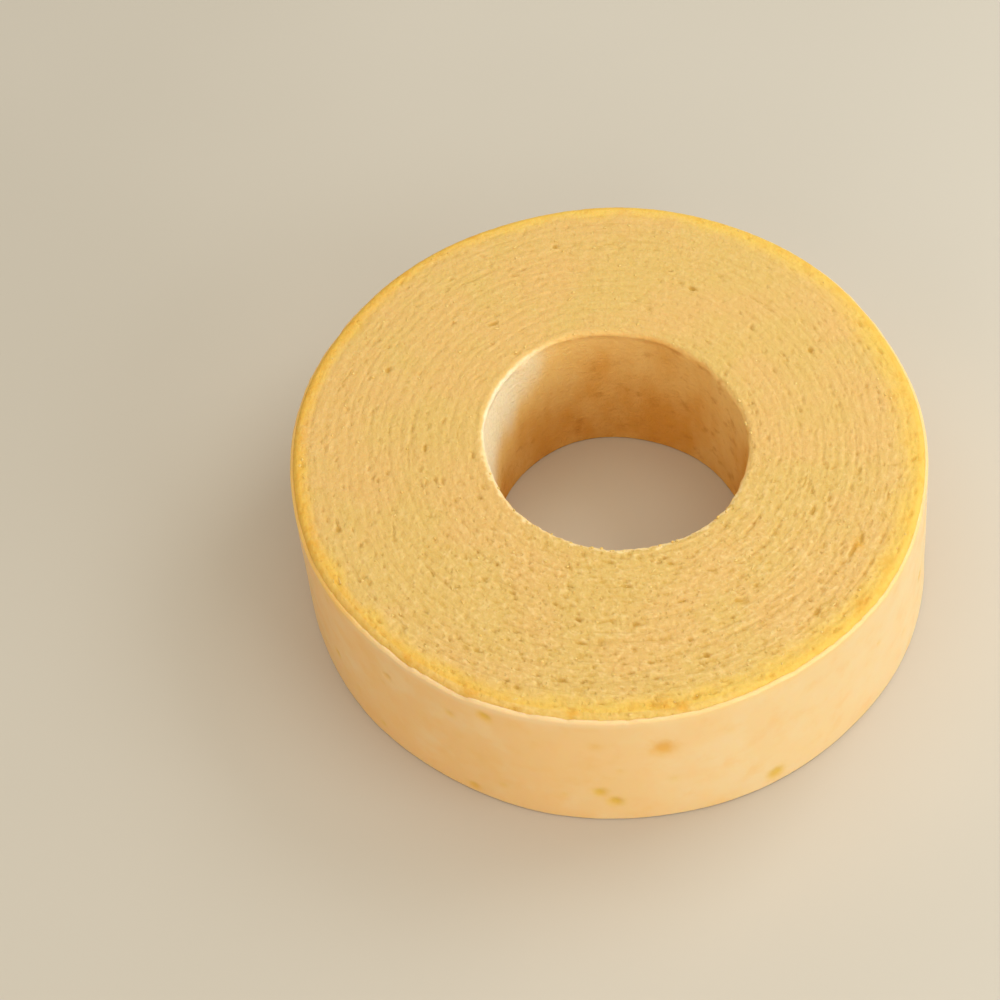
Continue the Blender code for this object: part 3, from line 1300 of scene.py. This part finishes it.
    def open_pits(self, press: CrumbPress, draw: random.Random) -> None:
        """Opens the large pits, each at its own place.

        Args:
            press: The press for the face.
            draw: The seeded source of chance.
        """
        for degrees, distance, length, width in self.pits:
            turn, depth = draw.gauss(0.0, self.pit_turn), width * self.pit_depth
            grown = length * self.pit_growth, width * self.pit_growth
            press.press(Hollow(degrees, distance, *grown, depth, turn))

    def open_pores(self, press: CrumbPress, draw: random.Random) -> None:
        """Opens the pores, most of them along the layers and on the coarse side.

        Args:
            press: The press for the face.
            draw: The seeded source of chance.
        """
        pores = self.pores
        for _ in range(pores.count):
            degrees, distance = self.random_place(draw, pores.margin)
            near = math.cos(math.radians(degrees - self.coarse_side.bearing))
            if draw.random() > self.pore_share + self.pore_share_swing * near:
                continue
            length = between(pores.length, draw.random() ** self.pore_length_skew)
            width = between(pores.width, draw.random())
            along = draw.random() < self.pores_along_layers
            turn = draw.gauss(0.0, pores.turn) if along else draw.uniform(*self.cross_turn)
            depth = between(pores.depth, draw.random() ** self.pore_depth_skew)
            # painted shade in the pore: more for deeper pores and on the coarse side
            shade = (pores.shade + depth) * (self.pore_shade_mean + self.pore_shade_swing * near)
            press.press(Hollow(degrees, distance, length, width, depth, turn, shade))

    def scatter(self, press: CrumbPress, draw: random.Random, kind: Scatter) -> None:
        """Scatters hollows or raised crumbs evenly over a face.

        Args:
            press: The press for the face.
            draw: The seeded source of chance.
            kind: What to scatter.
        """
        for _ in range(kind.count):
            place = self.random_place(draw, kind.margin)
            sizes = [between(span, draw.random()) for span in (kind.length, kind.width, kind.depth)]
            turn = draw.gauss(0.0, kind.turn) if kind.turn else 0.0
            press.press(Hollow(*place, *sizes, turn, kind.shade))

    def open_bubbles(self, grid: RingGrid) -> None:
        """Opens the pits, pores and cracks of the upper face, and leaves crumbs standing between them.

        Args:
            grid: The ring's points.
        """
        draw = random.Random(self.seed)
        press = CrumbPress(grid, Zone.TOP)
        self.open_pits(press, draw)
        self.open_pores(press, draw)
        self.scatter(press, draw, self.raised_crumbs)
        for _ in range(self.cracks.count):
            self.crack(press, draw)

    def crack(self, press: CrumbPress, draw: random.Random) -> None:
        """Opens a short crack that wanders along a layer.

        Args:
            press: The press for the face.
            draw: The seeded source of chance.
        """
        kind = self.cracks
        degrees, distance = self.random_place(draw, kind.margin)
        for _ in range(draw.randint(*self.crack_parts)):
            length, depth = draw.uniform(*kind.length), draw.uniform(*kind.depth)
            turn = draw.gauss(0.0, kind.turn)
            press.press(Hollow(degrees, distance, length, kind.width[0], depth, turn, kind.shade))
            degrees += math.degrees(length * self.crack_overlap / distance)
            distance += draw.gauss(0.0, self.crack_drift)

    def mark_underside(self, grid: RingGrid) -> None:
        """Opens the larger bubbles of the lower face, which is otherwise pressed level.

        Args:
            grid: The ring's points.
        """
        draw = random.Random(self.seed + 1)
        self.scatter(CrumbPress(grid, Zone.UNDER), draw, self.under_pores)
        under = grid.within(Zone.UNDER)
        grid.relief[under] = np.minimum(grid.relief[under], 0.0)

    def ripple_hole(self, grid: RingGrid) -> None:
        """Gives the hole's wall soft upright ripples and a few blisters.

        Args:
            grid: The ring's points.
        """
        places = grid.places()
        uneven = self.hole_ripples.at(places) + self.hole_blisters.at(places)
        grid.relief += grid.within(Zone.HOLE) * (uneven - self.hole_inset)

    def pale_lit_skin(self, grid: RingGrid) -> np.ndarray:
        """How much the hole's wall is painted paler, from 0 to 1: partly a paler skin and partly a painted
        patch of window light. It is palest on one side, near the top, and fades downwards.

        Args:
            grid: The ring's points.

        Returns:
            One value for each point.
        """
        off = np.degrees(np.abs(grid.off(self.pale_lit_bearing)))
        ragged = self.pale_lit_edge.at(grid.places())
        outer, blend = self.pale_lit_reach, self.pale_lit_blend
        side = 1.0 - soft_step(off + ragged, outer - blend, outer + blend)
        lowest = self.pale_lit_slope * off + 0.5 * ragged - self.pale_lit_depth
        return side * soft_step(grid.height, lowest, lowest + self.pale_lit_fade)

    def edge_highlight(self, grid: RingGrid) -> np.ndarray:
        """Where a painted highlight lies on the hole's rounded upper edge, strongest on the near side,
        from 0 to 1.

        Args:
            grid: The ring's points.

        Returns:
            One value for each point.
        """
        ragged = self.highlight_outline.at(grid.places())
        away = grid.radius - self.form.hole_radius(grid.angle, grid.height) + self.highlight_sway * ragged
        band = 1.0 - soft_step(away, self.highlight_core * self.highlight_reach, self.highlight_reach)
        band *= 1.0 - soft_step(np.degrees(grid.facing) + self.highlight_tilt * ragged, *self.highlight_facing)
        share = self.least_highlight + (1.0 - self.least_highlight) * self.highlight_side.share(grid)
        return grid.within(Zone.TOP) * band * share

    def browned(self, grid: RingGrid) -> np.ndarray:
        """Where the outermost layer browned at the rim in its marks, and painted shade along the rim on
        the side away from the light, from 0 to 1.

        Args:
            grid: The ring's points.

        Returns:
            One value for each point.
        """
        ragged = self.mark_strength + self.mark_outline.at(grid.places())
        # painted shade along the rim on the side away from the light
        browning_and_shade = self.painted_shade_share * self.shade_side.share(grid) * soft_step(grid.share, *self.painted_shade_reach)
        browning_and_shade *= 1.0 - self.filmed(grid)
        for degrees, distance, reach in self.browned_marks:
            along = grid.off(degrees) * grid.radius * self.mark_squeeze
            away = np.hypot(along, grid.radius - distance) / reach
            browning_and_shade = np.maximum(browning_and_shade, np.exp(-away * away))
        return np.clip(grid.within(Zone.TOP, Zone.SIDE) * browning_and_shade * ragged, 0.0, 1.0)

    def note_traces(self, grid: RingGrid) -> None:
        """Marks the soaked rim, the browned rim with painted shade on one side, the painted highlight on
        the hole's edge and the hole's skin with its partly painted lit patch for the finish.

        Args:
            grid: The ring's points.
        """
        face = grid.within(Zone.TOP, Zone.UNDER)
        grid.note(Trace.PALE_LIT_SKIN, self.pale_lit_skin(grid))
        grid.note(Trace.EDGE_HIGHLIGHT, self.edge_highlight(grid))
        grid.note(Trace.CARAMEL_AND_SHADE, self.browned(grid))
        grid.note(Trace.SOAKED_AND_LIT_LIP, face * self.soaked(grid))
        turned = np.abs(np.degrees(grid.facing)) + self.skin_edge.at(grid.places())
        start, end = self.skin_facing
        grid.note(Trace.BAKED_SKIN, np.clip((turned - start) / (end - start), 0.0, 1.0))

    def build(self) -> tuple[bpy.types.Object, RingGrid]:
        """Builds and dresses the cake.

        Returns:
            The piece, and its points for what lies on it.
        """
        grid = RingGrid(self.form, self.rows())
        self.fray_hole_edge(grid)
        self.lay_layers(grid)
        self.roughen(grid)
        self.open_bubbles(grid)
        self.mark_underside(grid)
        self.ripple_hole(grid)
        self.note_traces(grid)
        piece = place_piece(self.name, grid.mesh(self.name), self.finish.material())
        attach(piece, BODY)
        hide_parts("cake_ring")
        report(piece)
        return piece, grid


@dataclass(frozen=True)
class Spot:
    """A little pit in the glaze where the cake's yellow shows."""

    degrees: float
    height: float
    width: float
    depth: float = 0.6
    strength: float = 1.0
    orange: float = 0.0


@dataclass
class GlazeSkin:
    """The thin glaze round the side: a closed skin with a soft upper lip that the knife left uneven."""

    form: RingForm
    finish: GlazeFinish
    name: str = "glaze_skin"
    points_round: int = 648
    outer_rows: int = 58
    inner_rows: int = 3
    inner_gap: float = 2.0
    outer_facing: Span = (-0.2, 0.6)
    crown_steps: int = 12
    crown_height: float = 0.80
    crown_reach: float = 0.25
    foot_height: float = 0.10
    foot_round: float = 0.6
    top_drop: float = 0.45
    inset: float = 0.16
    swells: Unevenness = Unevenness(0.10, 22.0, 61, 2)
    brush_marks: Unevenness = Unevenness(0.045, 5.0, 62, 2, 0.6)
    lip_drop: float = 0.14
    lip_sway: Unevenness = Unevenness(0.24, 6.0, 63, 2)
    lip_breaks: Unevenness = Unevenness(0.26, 2.2, 64, 3)
    lip_band: Span = (4.4, 0.5)
    deepest_drop: float = 1.8
    far_drop: float = 0.80
    far_reach: Span = (0.06, 0.40)
    near_bearing: float = -102.0
    # how far down from the top the lip's painted highlight reaches
    lip_highlight_band: Span = (4.5, 0.7)
    # the side painted paler where the window light falls, partly as cloudier glaze
    lit_wash_side: Side = Side(-10.0, -0.7, 1.1)
    thin_side: Side = Side(165.0, 0.45, 0.80)
    thin_band: Span = (4.0, 1.4)
    thin_edge: Unevenness = Unevenness(1.2, 5.0, 66, 2)
    pit_share: float = 0.6
    pit_outline: Unevenness = Unevenness(0.25, 1.3, 65)
    stain_share: float = 0.75
    stain_reach: float = 1.25
    orange_reach: float = 2.0
    seed: int = 23
    faint_spots: int = 46
    # degrees round the ring, height, width, depth and strength
    faint_spans: tuple[Span, ...] = ((-45.0, 225.0), (3.0, 39.0), (1.4, 3.2), (0.1, 0.4), (0.2, 0.8))
    spots: tuple[Spot, ...] = (
        Spot(-116.8, 37.7, 3.6, 0.5), Spot(-121.1, 2.9, 3.4, 0.4, 0.8),
        Spot(-97.3, 12.4, 3.7, 0.45, 0.9), Spot(-94.7, 8.4, 3.8, 0.5),
        Spot(-85.7, 30.6, 6.2, 0.4, 0.90, 1.0), Spot(-65.2, 4.6, 4.4, 0.45),
        Spot(-138.0, 30.7, 3.2, 0.3, 0.6, 0.5), Spot(-123.9, 32.3, 3.4, 0.3, 0.55),
        Spot(-20.0, 18.0, 3.4), Spot(38.0, 27.0, 3.6),
        Spot(84.0, 13.0, 3.2), Spot(131.0, 31.0, 4.4, 0.4, 0.8, 1.0),
        Spot(172.0, 20.0, 3.4), Spot(-115.0, 8.7, 2.8, 0.15, 0.4),
        Spot(-97.4, 32.4, 4.2, 0.15, 0.45, 0.8), Spot(-93.5, 21.8, 2.8, 0.2, 0.35),
        Spot(-103.6, 10.7, 2.8, 0.2, 0.35), Spot(-84.2, 16.3, 3.0, 0.2, 0.35),
        Spot(-73.9, 31.1, 2.8, 0.15, 0.3, 0.5), Spot(-29.9, 12.7, 3.2, 0.2, 0.4),
    )
    lip_gaps: tuple[Triple, ...] = (
        # degrees round the ring, half width in degrees, depth
        (-121.8, 2.6, 0.55), (-101.8, 0.8, 0.35), (-133.0, 2.2, 0.45),
        (-162.0, 3.0, 0.5), (-58.0, 2.0, 0.25), (-12.0, 2.6, 0.4),
        (44.0, 3.2, 0.45), (103.0, 2.4, 0.5), (146.0, 1.6, 0.4),
    )

    def rows(self) -> list[Row]:
        """The skin's cross section: up its inner side, over the lip, down its outer side and under.

        Returns:
            Its rows, in the order in which they are joined.
        """
        top = self.form.height - self.top_drop
        half = self.form.glaze_thickness / 2.0
        clear = self.form.glaze_clearance
        face = clear + 2.0 * half
        count = self.points_round
        low, high = self.foot_height + self.foot_round, top - self.crown_height
        rows = [
            Row(1.0, clear, height, 180.0, count, Zone.HOLE)
            for height in np.linspace(low, high - self.inner_gap, self.inner_rows)
        ]
        middle, reach = (face - self.crown_reach) / 2.0, (face + self.crown_reach) / 2.0
        for turn in np.linspace(180.0, 0.0, self.crown_steps + 1)[:-1]:
            side, up = math.cos(math.radians(turn)), math.sin(math.radians(turn))
            shift, height = middle + reach * side, high + self.crown_height * up
            rows.append(Row(1.0, shift, height, turn, count, Zone.TOP))
        rows += [
            Row(1.0, face, height, 0.0, count, Zone.SIDE)
            for height in np.linspace(high, low, self.outer_rows)
        ]
        for turn in (-30.0, -60.0, -90.0, -120.0, -150.0):
            side, down = math.cos(math.radians(turn)), math.sin(math.radians(turn))
            shift, height = clear + half * (1.0 + side), low + self.foot_round * down
            rows.append(Row(1.0, shift, height, turn, count, Zone.UNDER))
        return rows

    def wave_skin(self, grid: RingGrid) -> None:
        """Makes the skin a little thicker and thinner, as brushed glaze sets.

        Args:
            grid: The ring's points.
        """
        outer = soft_step(np.cos(grid.facing), *self.outer_facing)
        places = grid.places()
        waves = self.swells.at(places) + self.brush_marks.at(places)
        grid.relief += outer * (np.clip(waves, -self.inset, self.inset) - self.inset)

    def cut_lip(self, grid: RingGrid) -> None:
        """Lowers the lip unevenly, most where the glaze broke away under the knife.

        Args:
            grid: The ring's points.
        """
        top = self.form.height - self.top_drop
        start, full = self.lip_band
        round_rim = grid.drum(self.form.outer_diameter / 2.0, np.zeros(len(grid.angle)))
        drop = self.lip_drop + self.lip_sway.at(round_rim) + self.lip_breaks.at(round_rim)
        drop += self.far_drop * soft_step(0.5 - 0.5 * grid.nearness(self.near_bearing), *self.far_reach)
        for degrees, half_width, depth in self.lip_gaps:
            drop += depth * np.exp(-((np.degrees(grid.off(degrees)) / half_width) ** 2))
        weight = soft_step(grid.height, top - start, top - full)
        grid.level -= weight * np.clip(drop, 0.0, self.deepest_drop)

    def all_spots(self) -> list[Spot]:
        """The spots with a place of their own, and faint ones that are scattered round the far side.

        Returns:
            All of them.
        """
        draw = random.Random(self.seed)
        drawn = [[draw.uniform(*span) for span in self.faint_spans] for _ in range(self.faint_spots)]
        return [*self.spots, *(Spot(*values) for values in drawn)]

    def pit_skin(self, grid: RingGrid) -> None:
        """Presses the spots into the outer side, with a soft stain round each.

        Args:
            grid: The ring's points.
        """
        outer = grid.within(Zone.SIDE)
        ragged = 1.0 + self.pit_outline.at(grid.places())
        for spot in self.all_spots():
            along = grid.off(spot.degrees) * grid.radius
            away = np.hypot(along, grid.height - spot.height) / (spot.width / 2.0) * ragged
            bowl = outer * np.clip(1.0 - away * away, 0.0, 1.0)
            stain = outer * self.stain_share * np.exp(-((away / self.stain_reach) ** 2))
            grid.relief -= self.pit_share * spot.depth * bowl
            grid.note(Trace.BARE_CAKE, spot.strength * np.maximum(bowl, stain))
            grid.note(Trace.CARAMEL_AND_SHADE, spot.orange * np.exp(-((away / self.orange_reach) ** 2)))

    def below_top(self, band: Span) -> Span:
        """Turns a band's distances below the top into heights."""
        return self.form.height - band[0], self.form.height - band[1]

    def note_traces(self, grid: RingGrid) -> None:
        """Marks the lip, paler partly from cloudy glaze and partly from a painted highlight; the window
        side, cloudier and partly painted light; and the thin, see-through lip, for the finish.

        Args:
            grid: The ring's points.
        """
        grid.note(Trace.SOAKED_AND_LIT_LIP, soft_step(grid.height, *self.below_top(self.lip_highlight_band)))
        grid.note(Trace.LIT_WASH, self.lit_wash_side.share(grid))
        level = grid.height + self.thin_edge.at(grid.places())
        thin = soft_step(level, *self.below_top(self.thin_band))
        grid.note(Trace.THIN_LIP, self.thin_side.share(grid) * thin)

    def build(self) -> bpy.types.Object:
        """Builds and dresses the glaze.

        Returns:
            The piece.
        """
        grid = RingGrid(self.form, self.rows())
        self.wave_skin(grid)
        self.cut_lip(grid)
        self.pit_skin(grid)
        self.note_traces(grid)
        piece = place_piece(self.name, grid.mesh(self.name), self.finish.material())
        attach(piece, BODY)
        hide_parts("sugar_glaze")
        report(piece)
        return piece


@dataclass
class ClingingCrumbs:
    """Grains and shreds of crumb that the knife left on the upper face and on the hole's edge."""

    form: RingForm
    finish: CrumbFinish
    name: str = "clinging_crumbs"
    counts: tuple[tuple[Lodging, int], ...] = (
        (Lodging.FACE, 260),
        (Lodging.SHRED, 110),
        (Lodging.HOLE_EDGE, 44),
        (Lodging.RIM, 8),
    )
    hole_margin: float = 0.6
    rim_margin: float = 1.2
    grain_size: Span = (0.16, 0.36)
    grain_length: Span = (0.9, 1.5)
    grain_height: Span = (0.6, 0.9)
    shred_sizes: tuple[Span, Span, Span] = ((0.4, 0.8), (0.14, 0.22), (0.12, 0.18))
    edge_offset: Span = (-0.45, 0.5)
    edge_growth: Triple = (1.4, 1.0, 0.9)
    rim_offset: Span = (-1.0, 0.6)
    rim_growth: Triple = (1.8, 1.2, 0.7)
    heading_spread: float = 0.45
    tilt: Span = (-0.2, 0.2)
    roundness: int = 2
    raggedness: float = 0.28
    lump_size: float = 0.9
    sunk: float = 0.10
    seed: int = 31

    def ball(self) -> tuple[np.ndarray, np.ndarray]:
        """A rough ball's points and triangles.

        Returns:
            The points, one in each row, and the triangles as point numbers.
        """
        shape = bmesh.new()
        bmesh.ops.create_icosphere(shape, subdivisions=self.roundness, radius=1.0)
        points = np.array([vertex.co[:] for vertex in shape.verts])
        faces = np.array([[vertex.index for vertex in face.verts] for face in shape.faces])
        shape.free()
        return points, faces

    def lumpy(self, points: np.ndarray, draw: random.Random) -> np.ndarray:
        """Makes a ball uneven in its own way."""
        uneven = lumps(points, self.lump_size, draw.randint(0, 500))
        return points * (1.0 + self.raggedness * uneven)[:, None]

    def places(self, draw: random.Random) -> list[tuple[float, float, Triple]]:
        """Draws where crumbs lie and how large they are.

        Args:
            draw: The seeded source of chance.

        Returns:
            (angle in radians, distance from the axis, half sizes along, across and up) for each crumb.
        """
        height = self.form.height
        found = []
        for kind in [kind for kind, count in self.counts for _ in range(count)]:
            angle = draw.uniform(-math.pi, math.pi)
            inner = float(self.form.hole_radius(angle, height)) + self.hole_margin
            outer = float(self.form.cake_radius(angle, height)) - self.rim_margin
            distance = math.sqrt(draw.uniform(inner * inner, outer * outer))
            size, long = draw.uniform(*self.grain_size), draw.uniform(*self.grain_length)
            sizes = (size * long, size, size * draw.uniform(*self.grain_height))
            if kind is Lodging.SHRED:
                sizes = tuple(draw.uniform(*span) for span in self.shred_sizes)
            if kind is Lodging.HOLE_EDGE:
                distance = inner + draw.uniform(*self.edge_offset)
                sizes = tuple(size * growth for growth in self.edge_growth)
            if kind is Lodging.RIM:
                distance = outer + draw.uniform(*self.rim_offset)
                sizes = tuple(size * growth for growth in self.rim_growth)
            found.append((angle, distance, sizes))
        return found

    def build(self, cake: RingGrid) -> bpy.types.Object:
        """Builds the crumbs as one joined mesh.

        Args:
            cake: The cake's points, for the height of the face under each crumb.

        Returns:
            The piece.
        """
        draw = random.Random(self.seed)
        surface = cake.places()
        tree = flat_tree(surface, np.flatnonzero(cake.within(Zone.TOP)))
        ball, triangles = self.ball()
        axis = float(self.form.axis(self.form.height))
        ceiling = CAD_BOX[1].z / MM - BOX_MARGIN
        points, faces = [], []
        for angle, distance, sizes in self.places(draw):
            x, y = axis + distance * math.cos(angle), distance * math.sin(angle)
            _, number, _ = tree.find((x, y, 0.0))
            if draw.random() > cake.traces[Trace.COARSE][number]:
                continue
            along, across, up = sizes
            heading = angle + math.pi / 2.0 + draw.gauss(0.0, self.heading_spread)
            lean = Euler((draw.uniform(*self.tilt), draw.uniform(*self.tilt), heading))
            crumb = (self.lumpy(ball, draw) * (along, across, up)) @ np.array(lean.to_matrix()).T
            level = min(surface[number, 2] + up * self.sunk, ceiling - crumb[:, 2].max())
            faces.append(triangles + len(points) * len(ball))
            points.append(crumb + (x, y, level))
        mesh = smooth_mesh(self.name, np.concatenate(points), np.concatenate(faces).tolist())
        piece = place_piece(self.name, mesh, self.finish.material())
        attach(piece, BODY)
        report(piece)
        return piece


@dataclass(frozen=True)
class LooseCrumbFinish(CrumbFinish):
    """Small crumbs: the same sponge, a little paler because light comes through them."""

    name: str = "loose crumb"
    tan: Colour = (0.75, 0.48, 0.14)
    bright: Coat = Coat((0.86, 0.60, 0.22), Noise(2.4), 0.38, 0.62)
    fine: Noise = Noise(0.4)
    fine_cover: Triple = (0.44, 0.26, 0.4)

    def material(self) -> bpy.types.Material:
        """Makes the material.

        Returns:
            The material.
        """
        bench = Bench(self.name)
        fine = bench.noise(self.fine)
        # painted shade in the fine hollows of the bump
        colour = bench.lay(self.tan, self.bright, Coat(self.shaded_crumb, fine, *self.fine_cover))
        bench.set_surface(Base_Color=colour, Roughness=0.78, Specular_IOR_Level=0.25)
        bench.scatter_light(share=0.25, depth=1.2, tint=self.light_tint)
        bench.bump(fine, depth=0.1, strength=0.6)
        return bench.material


@dataclass(frozen=True)
class PaleFloor:
    """The plain floor that the ring lies on."""

    finish: FloorFinish
    half_width: float = 4.0
    drop: float = 0.00005

    def build(self) -> bpy.types.Object:
        """Builds the floor.

        Returns:
            The floor.
        """
        shape = bmesh.new()
        bmesh.ops.create_grid(shape, x_segments=8, y_segments=8, size=self.half_width)
        bmesh.ops.translate(shape, verts=shape.verts, vec=(0.0, 0.0, -self.drop))
        mesh = bpy.data.meshes.new("floor")
        shape.to_mesh(mesh)
        shape.free()
        floor = place_piece("floor", mesh, self.finish.material())
        return floor


@dataclass(frozen=True)
class SoftLamp:
    """A large square lamp, placed by its bearing from +X, its elevation and its distance in metres."""

    name: str
    bearing: float
    elevation: float
    distance: float
    size: float
    power: float
    colour: Colour

    def place(self) -> None:
        """Puts the lamp in the scene, turned to the ring."""
        bearing, elevation = math.radians(self.bearing), math.radians(self.elevation)
        flat = math.cos(elevation)
        way = Vector((flat * math.cos(bearing), flat * math.sin(bearing), math.sin(elevation)))
        lamp = bpy.data.lights.new(self.name, "AREA")
        lamp.size = self.size
        lamp.energy = self.power
        lamp.color = self.colour
        holder = bpy.data.objects.new(self.name, lamp)
        bpy.context.scene.collection.objects.link(holder)
        holder.location = way * self.distance
        holder.rotation_mode = "QUATERNION"
        holder.rotation_quaternion = (-way).to_track_quat("-Z", "Y")


@dataclass(frozen=True)
class Studio:
    """Soft daylight: a window on the right, slightly behind, and a bright room all round."""

    lamps: tuple[SoftLamp, ...] = (
        SoftLamp("window", 30.0, 41.0, 0.80, 0.50, 2.7, (0.97, 0.99, 1.0)),
        SoftLamp("room", -38.0, 18.0, 0.90, 0.70, 4.15, (0.91, 0.965, 1.0)),
        SoftLamp("front", -118.0, 24.0, 0.90, 0.80, 2.5, (1.0, 0.83, 0.65)),
        SoftLamp("ceiling", 0.0, 89.0, 0.80, 0.80, 2.4, (1.0, 0.94, 0.82)),
    )
    sky: Colour = (1.0, 0.93, 0.80)
    sky_strength: float = 0.41

    def place(self) -> None:
        """Puts the lamps and the surrounding light in the scene."""
        for lamp in self.lamps:
            lamp.place()
        world = bpy.data.worlds.new("soft room")
        world.use_nodes = True
        background = world.node_tree.nodes["Background"]
        background.inputs["Color"].default_value = (*self.sky, 1.0)
        background.inputs["Strength"].default_value = self.sky_strength
        bpy.context.scene.world = world
        bpy.context.scene.view_settings.view_transform = "Standard"


@dataclass(frozen=True)
class PhotoCamera:
    """The camera, where the photo was taken from. Places are in metres."""

    position: Vector = Vector((-0.02665, -0.49473, 0.72592))
    aim: Vector = Vector((-0.02665, -0.01172, 0.04300))
    roll: float = -4.71
    lens: float = 129.6
    sensor: float = 36.0

    def place(self) -> None:
        """Puts the camera in the scene."""
        lens = bpy.data.cameras.new("camera")
        lens.lens = self.lens
        lens.sensor_width = self.sensor
        lens.clip_start = 0.01
        lens.clip_end = 20.0
        camera = bpy.data.objects.new("camera", lens)
        bpy.context.scene.collection.objects.link(camera)
        camera.location = self.position
        camera.rotation_mode = "QUATERNION"
        level = (self.aim - self.position).to_track_quat("-Z", "Y")
        camera.rotation_quaternion = level @ Quaternion((0.0, 0.0, 1.0), math.radians(self.roll))
        bpy.context.scene.camera = camera


def main() -> None:
    """Builds the ring and sets the stage."""
    logging.basicConfig(level=logging.INFO, format="%(message)s")
    form = RingForm()
    PhotoCamera().place()
    _, cake = CakeRing(form, CrumbFinish()).build()
    GlazeSkin(form, GlazeFinish()).build()
    ClingingCrumbs(form, LooseCrumbFinish()).build(cake)
    PaleFloor(FloorFinish()).build()
    Studio().place()


if __name__ == "__main__":
    main()
